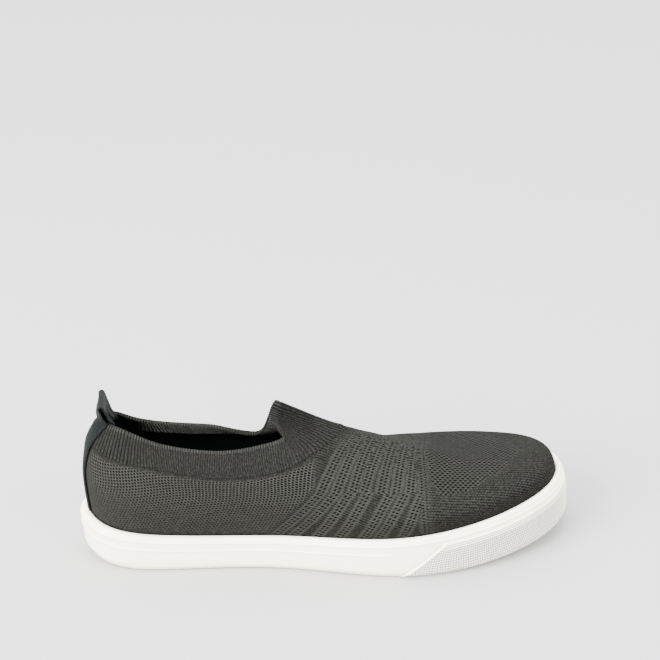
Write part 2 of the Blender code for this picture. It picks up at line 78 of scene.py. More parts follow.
# Detail that only the looks have. A lattice is given by its steps across and up.
TOOTH = 0.0017
TOOTH_RISE = 0.0002
EYELETS = (0.00106, 0.00165)
EYELET_TILT = -0.13
LOOPS = (0.00053, 0.00082)
TOE_LOOPS = (0.00082, 0.00165)
PATCH_HOLES = (0.00145, 0.00170)
PAIR_GAP = 0.0025
PAIR_STEP = 0.0024
PAIR_HOLE = 0.00085
COURSE_PITCH = 0.00145
LINING_BAND = 0.0150
PIN_LINES = (0.645, 0.897)
STITCH_PITCH = 0.0026
STITCH_LENGTH = 0.0017
STITCH_RADIUS = 0.0002
FLOOR_HALF = 4.0
WAFFLE_PITCH = 0.00145
WAFFLE_RISE = 0.0004

# The tables of the part, with the same columns as there.
OUTLINE = (
    (0.000, 0.000), (0.021, -0.176), (0.076, -0.297), (0.190, -0.345),
    (0.414, -0.371), (0.655, -0.497), (0.810, -0.444), (0.910, -0.317),
    (0.979, -0.139), (1.000, 0.057), (0.979, 0.253), (0.910, 0.397),
    (0.810, 0.480), (0.690, 0.501), (0.552, 0.390), (0.397, 0.299),
    (0.207, 0.337), (0.076, 0.290), (0.021, 0.172),
)
SEAM = (
    (0.000, 0.0282, 0.0282), (0.103, 0.0237, 0.0237), (0.310, 0.0202, 0.0202),
    (0.517, 0.0219, 0.0219), (0.724, 0.0261, 0.0264), (0.879, 0.0316, 0.0324),
    (1.000, 0.0377, 0.0377),
)
FLOOR = ((0.00, 0.0130), (0.20, 0.0125), (0.52, 0.0095), (1.00, 0.0085))
SHOULDER = (
    (0.000, 0.014, 0.0004), (0.100, 0.013, 0.0014), (0.225, 0.012, 0.0018),
    (0.330, 0.011, 0.0016), (0.400, 0.0095, 0.0006), (0.4875, 0.0080, -0.0030),
    (0.575, 0.0085, 0.0004), (0.650, 0.010, 0.0016), (0.780, 0.012, 0.0018),
    (0.900, 0.013, 0.0014),
)
BODY = (
    (0.0000, 0.0224, 0.000, 0.622), (0.0500, 0.0534, -0.202, 0.600), (0.1000, 0.1431, -0.298, 0.568),
    (0.1625, 0.2862, -0.320, 0.525), (0.2250, 0.4621, -0.349, 0.541), (0.2750, 0.5724, -0.338, 0.568),
    (0.3300, 0.6690, -0.265, 0.581), (0.4000, 0.7448, -0.147, 0.576), (0.4875, 0.7897, 0.020, 0.541),
    (0.5750, 0.7448, 0.216, 0.486), (0.6375, 0.6621, 0.324, 0.479), (0.7000, 0.5724, 0.353, 0.499),
    (0.7500, 0.4828, 0.319, 0.504), (0.8000, 0.3759, 0.294, 0.504), (0.8500, 0.2621, 0.294, 0.514),
    (0.9000, 0.1483, 0.284, 0.568), (0.9500, 0.0586, 0.199, 0.600),
)
BAND = (
    (0.0000, 0.0362, 0.000, 0.793), (0.0500, 0.0724, -0.176, 0.766), (0.1000, 0.1414, -0.245, 0.729),
    (0.1625, 0.2552, -0.294, 0.671), (0.2000, 0.3483, -0.304, 0.654), (0.2250, 0.4276, -0.301, 0.686),
    (0.2400, 0.4621, -0.279, 0.721), (0.2550, 0.4931, -0.230, 0.752), (0.2800, 0.5190, -0.172, 0.772),
    (0.3300, 0.5397, -0.093, 0.780), (0.4000, 0.5517, -0.025, 0.778), (0.4875, 0.5569, 0.039, 0.766),
    (0.5750, 0.5414, 0.137, 0.720), (0.6375, 0.5172, 0.216, 0.672), (0.7000, 0.4690, 0.270, 0.622),
    (0.7500, 0.4138, 0.279, 0.573), (0.8000, 0.3483, 0.270, 0.579), (0.8500, 0.2552, 0.255, 0.616),
    (0.9000, 0.1448, 0.216, 0.702), (0.9500, 0.0741, 0.157, 0.761),
)
RIM = (
    (0.0000, 0.0638, 0.000, 0.932), (0.0400, 0.0845, -0.083, 0.924), (0.0700, 0.1138, -0.137, 0.922),
    (0.1000, 0.1507, -0.176, 0.887), (0.1300, 0.1966, -0.201, 0.841), (0.1625, 0.2700, -0.221, 0.804),
    (0.1900, 0.3310, -0.219, 0.793), (0.2200, 0.4034, -0.200, 0.821), (0.2375, 0.4355, -0.175, 0.847),
    (0.2550, 0.4297, -0.131, 0.882), (0.2800, 0.4190, -0.086, 0.908), (0.3300, 0.4131, -0.049, 0.935),
    (0.4000, 0.4138, -0.022, 0.968), (0.4875, 0.4228, 0.007, 1.000), (0.5500, 0.4131, 0.039, 0.938),
    (0.6000, 0.4034, 0.074, 0.852), (0.6500, 0.3931, 0.113, 0.761), (0.7000, 0.3759, 0.147, 0.686),
    (0.7500, 0.3379, 0.160, 0.684), (0.8000, 0.2897, 0.157, 0.735), (0.8500, 0.2276, 0.152, 0.763),
    (0.9000, 0.1483, 0.127, 0.818), (0.9300, 0.1138, 0.115, 0.863), (0.9600, 0.0872, 0.083, 0.916),
)

# The ribbon's path from the rim up to the fold of the loop, and from the fold down to the rim inside.
# Columns: share of the way back to the rim, offset to the rear, offset down.
LOOP_OUT = ((0.72, 0.0010, 0.0), (0.38, 0.0012, 0.0), (0.0, 0.0010, 0.0016), (0.0, 0.0004, 0.0003))
LOOP_IN = ((0.0, -0.0008, 0.0001), (0.0, -0.0016, 0.0014), (0.40, -0.0002, 0.0), (0.74, 0.0006, 0.0))

# Ways round where the toe bumper starts and ends, at its bottom and at its top.
BUMPER_START = (0.297, 0.334)
BUMPER_END = (0.690, 0.655)

# The flat bands that cross the tread. Columns: x as a share of LENGTH, y as a share of BALL_WIDTH.
FORE_BAND = (
    (0.600, -0.420), (0.640, -0.300), (0.720, -0.140), (0.820, -0.060), (0.880, 0.020),
    (0.890, 0.120), (0.860, 0.160), (0.830, 0.100), (0.770, 0.060), (0.700, 0.100),
    (0.640, 0.220), (0.600, 0.440),
)
HEEL_BAND = (
    (0.270, -0.340), (0.225, -0.140), (0.150, -0.060), (0.085, 0.000), (0.090, 0.070),
    (0.150, 0.080), (0.215, 0.130), (0.250, 0.330),
)

# Columns of holes on either side of the midfoot, as lines over the knit.
# Columns: x at the seam, height over the seam at the break, x there, x above the break,
# height at the end, x there.
HOLE_BANDS = (
    (0.1185, 0.0300, 0.1470, 0.1470, 0.0480, 0.1560),
    (0.1290, 0.0300, 0.1560, 0.1560, 0.0520, 0.1650),
    (0.1430, 0.0300, 0.1640, 0.1655, 0.0520, 0.1725),
    (0.1560, 0.0300, 0.1745, 0.1720, 0.0520, 0.1790),
    (0.1700, 0.0290, 0.1875, 0.1815, 0.0520, 0.1870),
    (0.1790, 0.0290, 0.1965, 0.1905, 0.0500, 0.1940),
    (0.1930, 0.0280, 0.2060, 0.1985, 0.0500, 0.2010),
    (0.2300, 0.0010, 0.2300, 0.2075, 0.0500, 0.2060),
)

# Half width of the patch of larger holes over the toes.
# Columns: x, half width across the ridge.
PATCH = (
    (0.207, 0.000), (0.211, 0.034), (0.217, 0.043), (0.233, 0.038), (0.249, 0.025), (0.258, 0.014),
    (0.262, 0.000),
)

# Pitch of the ribs of the collar band.
# Columns: way round, pitch.
RIB_SPACING = (
    (0.00, 0.0021), (0.08, 0.0021), (0.12, 0.0015), (0.21, 0.0013), (0.25, 0.0017),
    (0.60, 0.0018), (0.72, 0.0016), (0.82, 0.0020), (1.00, 0.0021),
)

# How far the ribs lean along the band between its foot and its rim.
# Columns: way round, lean as a share of the way round.
RIB_LEAN = (
    (0.00, 0.000), (0.08, 0.000), (0.13, 0.006), (0.18, 0.008), (0.22, 0.000), (0.28, -0.013),
    (0.40, -0.013), (0.4875, 0.000), (0.57, 0.013), (0.68, 0.013), (0.75, 0.000), (0.80, -0.008),
    (0.86, -0.006), (0.92, 0.000), (1.00, 0.000),
)

# Soft troughs across the knit where the forefoot bends.
# Columns: x on the top, lean towards the sides, half width, depth.
CREASES = (
    (0.2095, 0.10, 0.0070, 0.00018), (0.1930, 0.18, 0.0070, 0.0002),
    (0.1750, 0.25, 0.0080, 0.0002),
)


def spline(knots, values, at):
    """Closed cubic curve through the values, read at the given places."""
    k = np.asarray(knots, float)
    v = np.asarray(values, float)
    n = len(k) - 1
    h = np.diff(k)
    d = np.diff(v, axis=0) / h[:, None]
    a = np.zeros((n, n))
    b = np.zeros((n, v.shape[1]))
    for i in range(n):
        p = (i - 1) % n
        a[i, p] += h[p]
        a[i, i] += 2 * (h[p] + h[i])
        a[i, (i + 1) % n] += h[i]
        b[i] = 6 * (d[i] - d[p])
    m = np.linalg.solve(a, b)
    m = np.vstack([m, m[:1]])
    t = k[0] + np.mod(np.asarray(at, float) - k[0], k[-1] - k[0])
    i = np.clip(np.searchsorted(k, t, side="right") - 1, 0, n - 1)
    u = (t - k[i])[:, None]
    w = (k[i + 1] - t)[:, None]
    g = h[i][:, None]
    return (m[i] * w ** 3 / (6 * g) + m[i + 1] * u ** 3 / (6 * g)
            + (v[i] / g - m[i] * g / 6) * w + (v[i + 1] / g - m[i + 1] * g / 6) * u)


def loop(table, at):
    rows = np.asarray(table, float)
    knots = np.append(rows[:, 0], 1.0)
    return spline(knots, np.vstack([rows[:, 1:], rows[:1, 1:]]), at)


def outline(at):
    pts = np.asarray(OUTLINE + OUTLINE[:1], float) * (LENGTH, BALL_WIDTH)
    step = np.hypot(*np.diff(pts, axis=0).T) ** 0.75
    knots = np.append(0.0, np.cumsum(step))
    return spline(knots / knots[-1], pts, at)


def inward(at):
    at = np.asarray(at, float)
    along = outline(at + 1e-4) - outline(at - 1e-4)
    along /= np.linalg.norm(along, axis=1)[:, None]
    return np.column_stack([-along[:, 1], along[:, 0]])


def inset(at, by):
    return outline(at) + inward(at) * np.reshape(by, (-1, 1))


def smooth(a, b, x):
    t = np.clip((np.asarray(x, float) - a) / (b - a), 0, 1)
    return t * t * (3 - 2 * t)


def hump(x, centre, half):
    """1 at the centre, falling softly to 0 at half on either side."""
    return smooth(1.0, 0.0, np.abs(np.asarray(x) - centre) / half)


def tread_z(x):
    x = np.asarray(x, float)
    toe = np.clip((x - SPRING_START) / (LENGTH - SPRING_START), 0, None)
    heel = np.clip((KICK_START - x) / KICK_START, 0, None)
    return TOE_SPRING * toe ** 2 + HEEL_KICK * heel ** 2


def seam_z(xy):
    rows = np.asarray(SEAM)
    lateral = np.interp(xy[:, 0], rows[:, 0] * LENGTH, rows[:, 1])
    medial = np.interp(xy[:, 0], rows[:, 0] * LENGTH, rows[:, 2])
    side = smooth(*SIDE_BLEND, xy[:, 1])
    return lateral * (1 - side) + medial * side


def seam_height(at):
    at = np.asarray(at, float)
    spread = (-0.03, -0.015, 0.0, 0.015, 0.03)
    return sum(seam_z(outline(at + s)) for s in spread) / len(spread)


def floor_z(x):
    rows = np.asarray(FLOOR)
    return tread_z(x) + np.interp(x, rows[:, 0] * LENGTH, rows[:, 1])


def with_z(xy, z):
    return np.column_stack([xy, np.broadcast_to(z, len(xy))])


def guides(at):
    at = np.asarray(at, float)
    scale = np.array([LENGTH, BALL_WIDTH, INSTEP_HEIGHT])
    z = seam_height(at)
    seam = with_z(inset(at, SEAM_INSET), z)
    rise, bulge = loop(SHOULDER, at).T
    shoulder = with_z(inset(at, SEAM_INSET - bulge), z + rise)
    return np.stack([seam, shoulder] + [loop(t, at) * scale for t in (BODY, BAND, RIM)])


def outer(at, s):
    """Points of the upper's outer face, s from 0 at the seam to 4 at the rim."""
    g = guides(at)
    first = g[0] - (g[1] - g[0]) * (0.5, 0.5, 1.0)
    last = g[4] * 2 - g[3]
    g = np.concatenate([first[None], g, last[None]])
    s = np.broadcast_to(s, g.shape[1])
    i = np.clip(np.floor(s).astype(int), 0, 3)
    n = np.arange(g.shape[1])
    p0, p1, p2, p3 = g[i, n], g[i + 1, n], g[i + 2, n], g[i + 3, n]
    d1 = np.linalg.norm(p1 - p0, axis=1) ** 0.5 + 1e-9
    d2 = np.linalg.norm(p2 - p1, axis=1) ** 0.5 + 1e-9
    d3 = np.linalg.norm(p3 - p2, axis=1) ** 0.5 + 1e-9
    d1, d2, d3 = (d[:, None] for d in (d1, d2, d3))
    m1 = (p1 - p0) / d1 - (p2 - p0) / (d1 + d2) + (p2 - p1) / d2
    m2 = (p2 - p1) / d2 - (p3 - p1) / (d2 + d3) + (p3 - p2) / d3
    m1 = m1 * d2
    m2 = m2 * d2
    u = (s - i)[:, None]
    return (p1 * (2 * u ** 3 - 3 * u ** 2 + 1) + m1 * (u ** 3 - 2 * u ** 2 + u)
            + p2 * (-2 * u ** 3 + 3 * u ** 2) + m2 * (u ** 3 - u ** 2))


def normal(at, s):
    at = np.asarray(at, float)
    s = np.broadcast_to(s, len(at)).astype(float)
    e = 2e-3
    around = outer(at + e, s) - outer(at - e, s)
    up = outer(at, np.minimum(s + 0.04, 4.0)) - outer(at, np.maximum(s - 0.04, 0.0))
    n = np.cross(around, up)
    return n / np.linalg.norm(n, axis=1)[:, None]


def from_heel(at):
    at = np.asarray(at, float)
    return np.minimum(at % 1.0, 1 - at % 1.0)


def wall(at, s):
    return KNIT_WALL + HEEL_PAD * (1 - smooth(0.010, 0.042, from_heel(at))) * smooth(1.6, 3.4, s)


def inner(at, s, gap=0.0):
    """Points of the inner face, level with the rim at the back of the collar."""
    at = np.asarray(at, float)
    p = outer(at, s)
    n = normal(at, s)
    thick = wall(at, s)
    up = p - outer(at, max(s - 0.1, 0.0)) if s > 0.1 else np.tile((0.0, 0.0, 1.0), (len(at), 1))
    up = up / np.linalg.norm(up, axis=1)[:, None]
    level = thick * n[:, 2] * (1 - smooth(0.03, 0.08, from_heel(at))) * smooth(3.2, 4.0, s)
    return p - n * (thick + gap)[:, None] + up * level[:, None]


def under_bumper(at):
    at = np.asarray(at, float)
    begun = smooth(BUMPER_START[0] - 0.02, BUMPER_START[1], at)
    ended = smooth(BUMPER_END[1], BUMPER_END[0] + 0.02, at)
    return begun * (1 - ended)


def side(at, share, off=0.0):
    """Points of the foxing's side at a share of its height."""
    at = np.asarray(at, float)
    base = 0.0018 * smooth(0.14, 0.0, share) + 0.0014 * smooth(0.86, 1.03, share)
    xy = inset(at, base + BUMPER_THICK * under_bumper(at) - off)
    low = tread_z(outline(at)[:, 0]) + OUTSOLE_PROUD
    high = seam_height(at)
    return with_z(xy, low + (high - low) * share)


# Where a point of the upper lies: height over the seam on its own side, and distance from the ridge.
class Arch:
    """Arc lengths across the foot, measured on sections at steps of x."""

    def __init__(self, pts):
        self.xs = np.linspace(0.09, LENGTH - 0.004, 66)
        ways = np.linspace(0, 1, 1601)
        seam = inset(ways, SEAM_INSET)
        heights = seam_height(ways)
        tip = np.argmax(seam[:, 0])
        self.lateral = np.interp(self.xs, seam[:tip, 0], seam[:tip, 1])
        self.medial = np.interp(self.xs, seam[tip:, 0][::-1], seam[tip:, 1][::-1])
        self.base = np.interp(self.xs, seam[:tip, 0], heights[:tip])
        t, r, i = self.polar(pts)
        bins = 60
        j = np.clip((t / np.pi * bins).astype(int), 0, bins - 1)
        keep = (pts[:, 0] > self.xs[0]) & (pts[:, 2] > 0.02)
        total = np.zeros((len(self.xs), bins))
        count = np.zeros((len(self.xs), bins))
        np.add.at(total, (i[keep], j[keep]), r[keep])
        np.add.at(count, (i[keep], j[keep]), 1)
        mid = (np.arange(bins) + 0.5) / bins * np.pi
        self.angles = np.linspace(0, np.pi, 121)
        self.arc = np.zeros((len(self.xs), 121))
        for k in range(len(self.xs)):
            have = count[k] > 0
            if not have.any():
                continue
            radius = np.interp(self.angles, mid[have], total[k, have] / count[k, have])
            slope = np.gradient(radius, self.angles)
            speed = np.hypot(radius, slope)
            self.arc[k, 1:] = np.cumsum((speed[1:] + speed[:-1]) / 2 * np.diff(self.angles))
        for _ in range(6):
            self.arc[1:-1] = (self.arc[:-2] + 2 * self.arc[1:-1] + self.arc[2:]) / 4

    def polar(self, pts):
        lateral = np.interp(pts[:, 0], self.xs, self.lateral)
        medial = np.interp(pts[:, 0], self.xs, self.medial)
        up = pts[:, 2] - np.interp(pts[:, 0], self.xs, self.base)
        out = (lateral + medial) / 2 - pts[:, 1]
        step = self.xs[1] - self.xs[0]
        i = np.clip(((pts[:, 0] - self.xs[0]) / step + 0.5).astype(int), 0, len(self.xs) - 1)
        return np.clip(np.arctan2(np.maximum(up, 0), out), 0, np.pi), np.hypot(out, up), i

    def read(self, pts):
        t, _, _ = self.polar(pts)
        f = np.clip((pts[:, 0] - self.xs[0]) / (self.xs[1] - self.xs[0]), 0, len(self.xs) - 1.001)
        i = f.astype(int)
        f = f - i
        g = np.clip(t / np.pi * 120, 0, 119.999)
        j = g.astype(int)
        g = g - j

        def across(j, g):
            a = self.arc[i, j] * (1 - g) + self.arc[i, j + 1] * g
            b = self.arc[i + 1, j] * (1 - g) + self.arc[i + 1, j + 1] * g
            return a * (1 - f) + b * f
        arc = across(j, g)
        whole = across(np.full_like(j, 119), np.ones_like(g))
        ridge = across(np.full_like(j, 60), np.zeros_like(g))
        return np.minimum(arc, whole - arc), arc - ridge


# Meshes over grids of points, in the part's own frame: the world's origin lies under mid-length.
def lay(name, pts, mat, uvs=None, marks=None, wrap=False):
    """A mesh over a grid of points, rows upwards. With wrap its last column is the first one again."""
    rows, cols = pts.shape[:2]
    span = cols - 1 if wrap else cols
    index = np.arange(rows * span).reshape(rows, span)
    if wrap:
        index = np.hstack([index, index[:, :1]])

    def corners(a):
        return np.stack([a[:-1, :-1], a[:-1, 1:], a[1:, 1:], a[1:, :-1]], axis=2)
    mesh = bpy.data.meshes.new(name)
    place = pts[:, :span].reshape(-1, 3) - (LENGTH / 2, 0, 0)
    mesh.from_pydata(place.tolist(), [], corners(index).reshape(-1, 4).tolist())
    for key, uv in (uvs or {}).items():
        layer = mesh.uv_layers.new(name=key)
        layer.data.foreach_set("uv", corners(uv).reshape(-1))
    for key, value in (marks or {}).items():
        layer = mesh.attributes.new(key, "FLOAT", "POINT")
        flat = np.ascontiguousarray(value[:, :span], dtype=np.float32).reshape(-1)
        layer.data.foreach_set("value", flat)
    mesh.polygons.foreach_set("use_smooth", np.ones(len(mesh.polygons), dtype=bool))
    mesh.materials.append(mat)
    mesh.update()
    obj = bpy.data.objects.new(name, mesh)
    bpy.context.scene.collection.objects.link(obj)
    return obj


def grid(at, levels, face):
    """Points of a face over all ways and levels, as rows by columns."""
    return np.stack([face(at, s) for s in levels])


def run_up(pts):
    """Distance travelled up each column of a grid."""
    steps = np.linalg.norm(np.diff(pts, axis=0), axis=2)
    return np.concatenate([np.zeros((1, pts.shape[1])), np.cumsum(steps, axis=0)])


def run_round(pts):
    """Distance travelled along a row of points."""
    return np.append(0.0, np.cumsum(np.linalg.norm(np.diff(pts, axis=0), axis=1)))


class Graph:
    """A short way to write a material's nodes."""

    def __init__(self, name, roughness, **fixed):
        self.mat = bpy.data.materials.new(name)
        self.mat.use_nodes = True
        self.tree = self.mat.node_tree
        self.bsdf = self.tree.nodes["Principled BSDF"]
        self.bsdf.inputs["Roughness"].default_value = roughness
        for key, value in fixed.items():
            self.bsdf.inputs[key.replace("_", " ")].default_value = value

    def put(self, socket, value):
        if isinstance(value, bpy.types.NodeSocket):
            self.tree.links.new(value, socket)
        else:
            socket.default_value = value

    def math(self, kind, *values):
        node = self.tree.nodes.new("ShaderNodeMath")
        node.operation = kind
        for socket, value in zip(node.inputs, values):
            self.put(socket, value)
        return node.outputs[0]

    def mark(self, name):
        node = self.tree.nodes.new("ShaderNodeAttribute")
        node.attribute_name = name
        return node.outputs["Fac"]

    def uv(self, name):
        node = self.tree.nodes.new("ShaderNodeUVMap")
        node.uv_map = name
        parts = self.tree.nodes.new("ShaderNodeSeparateXYZ")
        self.tree.links.new(node.outputs[0], parts.inputs[0])
        return parts.outputs[0], parts.outputs[1]

    def place(self):
        return self.tree.nodes.new("ShaderNodeTexCoord").outputs["Object"]

    def noise(self, scale, detail=2.0, where=None, roughness=0.5):
        node = self.tree.nodes.new("ShaderNodeTexNoise")
        self.put(node.inputs["Vector"], where or self.place())
        node.inputs["Scale"].default_value = scale
        node.inputs["Detail"].default_value = detail
        node.inputs["Roughness"].default_value = roughness
        return node.outputs[0]

    def wave(self, value, pitch):
        """Cosine of a length, once a pitch."""
        return self.math("COSINE", self.math("MULTIPLY", value, 2 * np.pi / pitch))

    def steps(self, value, low, high, to_low=0.0, to_high=1.0):
        node = self.tree.nodes.new("ShaderNodeMapRange")
        node.interpolation_type = "SMOOTHSTEP"
        for socket, v in zip(node.inputs, (value, low, high, to_low, to_high)):
            self.put(socket, v)
        return node.outputs[0]

    def mix(self, share, a, b):
        node = self.tree.nodes.new("ShaderNodeMix")
        node.data_type = "RGBA"
        self.put(node.inputs[0], share)
        for socket, v in ((node.inputs[6], a), (node.inputs[7], b)):
            self.put(socket, v if isinstance(v, bpy.types.NodeSocket) else (*v, 1.0))
        return node.outputs[2]

    def bump(self, height, distance, strength=1.0, under=None):
        node = self.tree.nodes.new("ShaderNodeBump")
        node.inputs["Distance"].default_value = distance
        node.inputs["Strength"].default_value = strength
        self.put(node.inputs["Height"], height)
        if under is not None:
            self.put(node.inputs["Normal"], under)
        return node.outputs[0]

    def colour(self, value):
        self.put(self.bsdf.inputs["Base Color"], value)

    def relief(self, value):
        self.put(self.bsdf.inputs["Normal"], value)


def stagger(g, u, v, across, up, rows=1.0):
    """Lattice of staggered round spots, 1 at their middles. More rows draws them out into rows."""
    spots = g.math("MULTIPLY", g.wave(u, across * 2), g.wave(v, up * 2))
    both = g.math("ADD", g.math("MULTIPLY", spots, 2.0), g.math("MULTIPLY", g.wave(v, up), rows))
    return g.math("DIVIDE", both, 2.0 + rows)


def rib_turns(at):
    """How many ribs of the collar lie before each way round."""
    run = run_round(outer(at, 3.5))
    ways, pitch = np.asarray(RIB_SPACING).T
    density = 1 / np.interp(at, ways, pitch)
    return np.append(0.0, np.cumsum(np.diff(run) * (density[1:] + density[:-1]) / 2))


def lean_of(at):
    return np.interp(at, *np.asarray(RIB_LEAN).T)


def knit_material():
    g = Graph("knit_yarn", 0.92, Specular_IOR_Level=0.03)
    wrap_u, wrap_v = g.uv("wrap")
    vamp_u, vamp_v = g.uv("vamp")
    lean_u, lean_v = g.uv("lean")
    line_u, line_v = g.uv("line")
    rib = g.mark("rib")
    eyelets = g.mark("eyelets")
    columns = g.mark("columns")
    patch = g.mark("patch")
    front = g.mark("front")
    rows = g.mark("rows")
    groove_shade = g.mark("groove_shade")
    turns = g.mark("turns")

    # Holes, each zone with its own lattice.
    rise_v = g.math("MULTIPLY_ADD", wrap_u, EYELET_TILT, wrap_v)
    rear = stagger(g, wrap_u, rise_v, *EYELETS)
    off = g.math("SUBTRACT", g.math("ABSOLUTE", line_u), PAIR_GAP / 2)
    off = g.math("POWER", g.math("DIVIDE", off, PAIR_HOLE), 2.0)
    turn_about = g.math("MULTIPLY", g.wave(line_v, PAIR_STEP), g.math("SIGN", line_u))
    mid = g.math("SUBTRACT", turn_about, off)
    toe = stagger(g, vamp_u, vamp_v, *PATCH_HOLES)
    holes = 0.0
    for spots, size, reach in ((rear, eyelets, 0.98), (mid, columns, 1.00), (toe, patch, 0.92)):
        edge = g.math("SUBTRACT", 1.0, g.math("MULTIPLY", size, reach))
        holes = g.math("MAXIMUM", holes, g.steps(spots, edge, g.math("ADD", edge, 0.20)))

    # Ribs of the collar, courses of the midfoot and the small loops between.
    ribs = g.math("COSINE", g.math("MULTIPLY", turns, 2 * np.pi))
    groove = g.math("MULTIPLY", g.steps(ribs, -0.30, -0.95), rib)
    loops_rear = stagger(g, wrap_u, rise_v, *LOOPS)
    loops_front = stagger(g, vamp_u, vamp_v, *TOE_LOOPS, rows=3.0)
    courses = g.wave(g.math("ADD", lean_v, g.math("MULTIPLY", lean_u, 0.40)), COURSE_PITCH)
    loops = g.math("ADD", g.math("MULTIPLY", loops_rear, g.math("SUBTRACT", 1.0, front)),
                   g.math("MULTIPLY", loops_front, front))
    faint = g.math("SUBTRACT", 1.0, g.math("MULTIPLY", rows, 0.75))
    loops = g.math("ADD", g.math("MULTIPLY", loops, faint), g.math("MULTIPLY", courses, rows))

    # Yarn colour: charcoal with paler flecks, painted shade darkening the rib grooves, and black in the
    # holes.
    fleck = g.steps(g.noise(950.0, 2.0), 0.40, 0.66)
    cloud = g.noise(28.0, 3.0)
    tone = g.math("MULTIPLY", g.steps(loops, -0.5, 0.8), 0.52)
    tone = g.math("ADD", tone, g.math("MULTIPLY", fleck, 0.40))
    tone = g.math("ADD", tone, g.math("MULTIPLY", cloud, 0.12))
    open_work = g.math("ADD", g.math("ADD", eyelets, columns), g.math("MULTIPLY", patch, 0.7))
    tone = g.math("ADD", tone, g.math("MULTIPLY", open_work, 0.62))
    tone = g.math("ADD", tone, g.math("MULTIPLY", rib, 0.10))
    yarn = g.mix(g.math("MULTIPLY", tone, 0.65), (0.0012, 0.0012, 0.0010), (0.0290, 0.0290, 0.0258))
    dull = g.math("MULTIPLY_ADD", patch, 0.16, g.math("MULTIPLY", front, 0.06))
    dull = g.math("MULTIPLY_ADD", rows, 0.18, dull)
    yarn = g.mix(dull, yarn, (0.0020, 0.0020, 0.0018))
    yarn = g.mix(g.math("MULTIPLY", g.mark("rim"), 0.6), yarn, (0.034, 0.034, 0.031))
    # Painted shade: the collar's rib grooves are darkened in the colour, more strongly where the contrast
    # mark is high.
    yarn = g.mix(g.math("MULTIPLY", groove, groove_shade), yarn, (0.0012, 0.0012, 0.0011))
    yarn = g.mix(holes, yarn, (0.0006, 0.0006, 0.0006))
    g.colour(yarn)
    fine = g.bump(g.math("ADD", loops, g.math("MULTIPLY", fleck, 0.6)), 0.00012)
    deep = g.math("SUBTRACT", g.math("MULTIPLY", g.math("MULTIPLY", ribs, rib), 0.35), holes)
    g.relief(g.bump(deep, 0.0005, under=fine))
    return g.mat


def lining_material():
    g = Graph("lining_knit", 0.96, Specular_IOR_Level=0.02)
    u, v = g.uv("wrap")
    turns = g.mark("turns")
    band = g.mark("band")
    ribs = g.math("COSINE", g.math("MULTIPLY", turns, 2 * np.pi))
    fleck = g.steps(g.noise(1400.0, 1.0), 0.42, 0.72)
    cloth = stagger(g, u, v, 0.0006, 0.0006)
    gray = g.mix(g.math("MULTIPLY_ADD", fleck, 0.25, g.steps(ribs, -0.9, 0.6, 0.0, 0.65)),
                 (0.0100, 0.0100, 0.0090), (0.200, 0.200, 0.182))
    black = g.mix(g.steps(cloth, -1.0, 1.0), (0.0010, 0.0013, 0.0013), (0.0023, 0.0030, 0.0029))
    g.colour(g.mix(band, black, gray))
    height = g.math("ADD", g.math("MULTIPLY", ribs, band), g.math("MULTIPLY", cloth, 0.2))
    g.relief(g.bump(height, 0.0003))
    return g.mat


def ribbon_material():
    g = Graph("ribbon_weave", 0.62, Specular_IOR_Level=0.08)
    u, v = g.uv("weave")
    weft = g.wave(v, 0.00055)
    warp = g.wave(u, 0.0009)
    weave = g.math("ADD", weft, g.math("MULTIPLY", warp, 0.5))
    edge = g.mark("edge")
    tone = g.steps(weave, -1.5, 1.5, 0.0, 0.55)
    tone = g.math("ADD", tone, g.math("MULTIPLY", g.noise(220.0, 2.0), 0.35))
    base = g.mix(tone, (0.0009, 0.0016, 0.0016), (0.0032, 0.0050, 0.0047))
    g.colour(g.mix(g.math("MULTIPLY", edge, 0.5), base, (0.0048, 0.0070, 0.0068)))
    g.relief(g.bump(g.math("ADD", weave, edge), 0.00012))
    return g.mat


def thread_material():
    g = Graph("thread", 0.6, Specular_IOR_Level=0.10)
    u, v = g.uv("weave")
    twist = g.wave(g.math("ADD", u, v), 0.0006)
    g.colour(g.mix(g.steps(twist, -1.0, 1.0), (0.0025, 0.0042, 0.0042), (0.0067, 0.0100, 0.0097)))
    g.relief(g.bump(twist, 0.0001))
    return g.mat


def white_rubber_material():
    g = Graph("white_rubber_skin", 0.42, Specular_IOR_Level=0.45)
    grime = g.steps(g.noise(38.0, 4.0), 0.50, 0.80, 0.0, 0.35)
    low = g.mark("low")
    white = g.mix(g.math("MULTIPLY", grime, low), (0.970, 0.880, 0.680), (0.83, 0.74, 0.55))
    # Painted highlight: the line mark lightens the two raised pin lines and the lip.
    g.colour(g.mix(g.mark("line"), white, (0.985, 0.940, 0.820)))
    g.put(g.bsdf.inputs["Roughness"], g.steps(g.noise(160.0, 3.0), 0.3, 0.7, 0.36, 0.52))
    g.relief(g.bump(g.noise(900.0, 2.0), 0.00005))
    return g.mat


def bumper_material():
    g = Graph("bumper_rubber_skin", 0.5, Specular_IOR_Level=0.4)
    low = g.mark("low")
    # Painted shade: the waffle's recesses, marked low, are coloured far darker than its raised nubs.
    g.colour(g.mix(low, (0.880, 0.870, 0.760), (0.26, 0.255, 0.22)))
    g.relief(g.bump(g.noise(900.0, 2.0), 0.00005))
    return g.mat


def dark_rubber_material():
    g = Graph("dark_rubber_skin", 0.55, Specular_IOR_Level=0.15)
    worn = g.steps(g.noise(60.0, 4.0), 0.35, 0.75)
    g.colour(g.mix(worn, (0.0047, 0.0038, 0.0028), (0.0100, 0.0083, 0.0064)))
    g.put(g.bsdf.inputs["Roughness"], g.steps(worn, 0.0, 1.0, 0.48, 0.66))
    g.relief(g.bump(g.noise(1100.0, 3.0), 0.00008))
    return g.mat


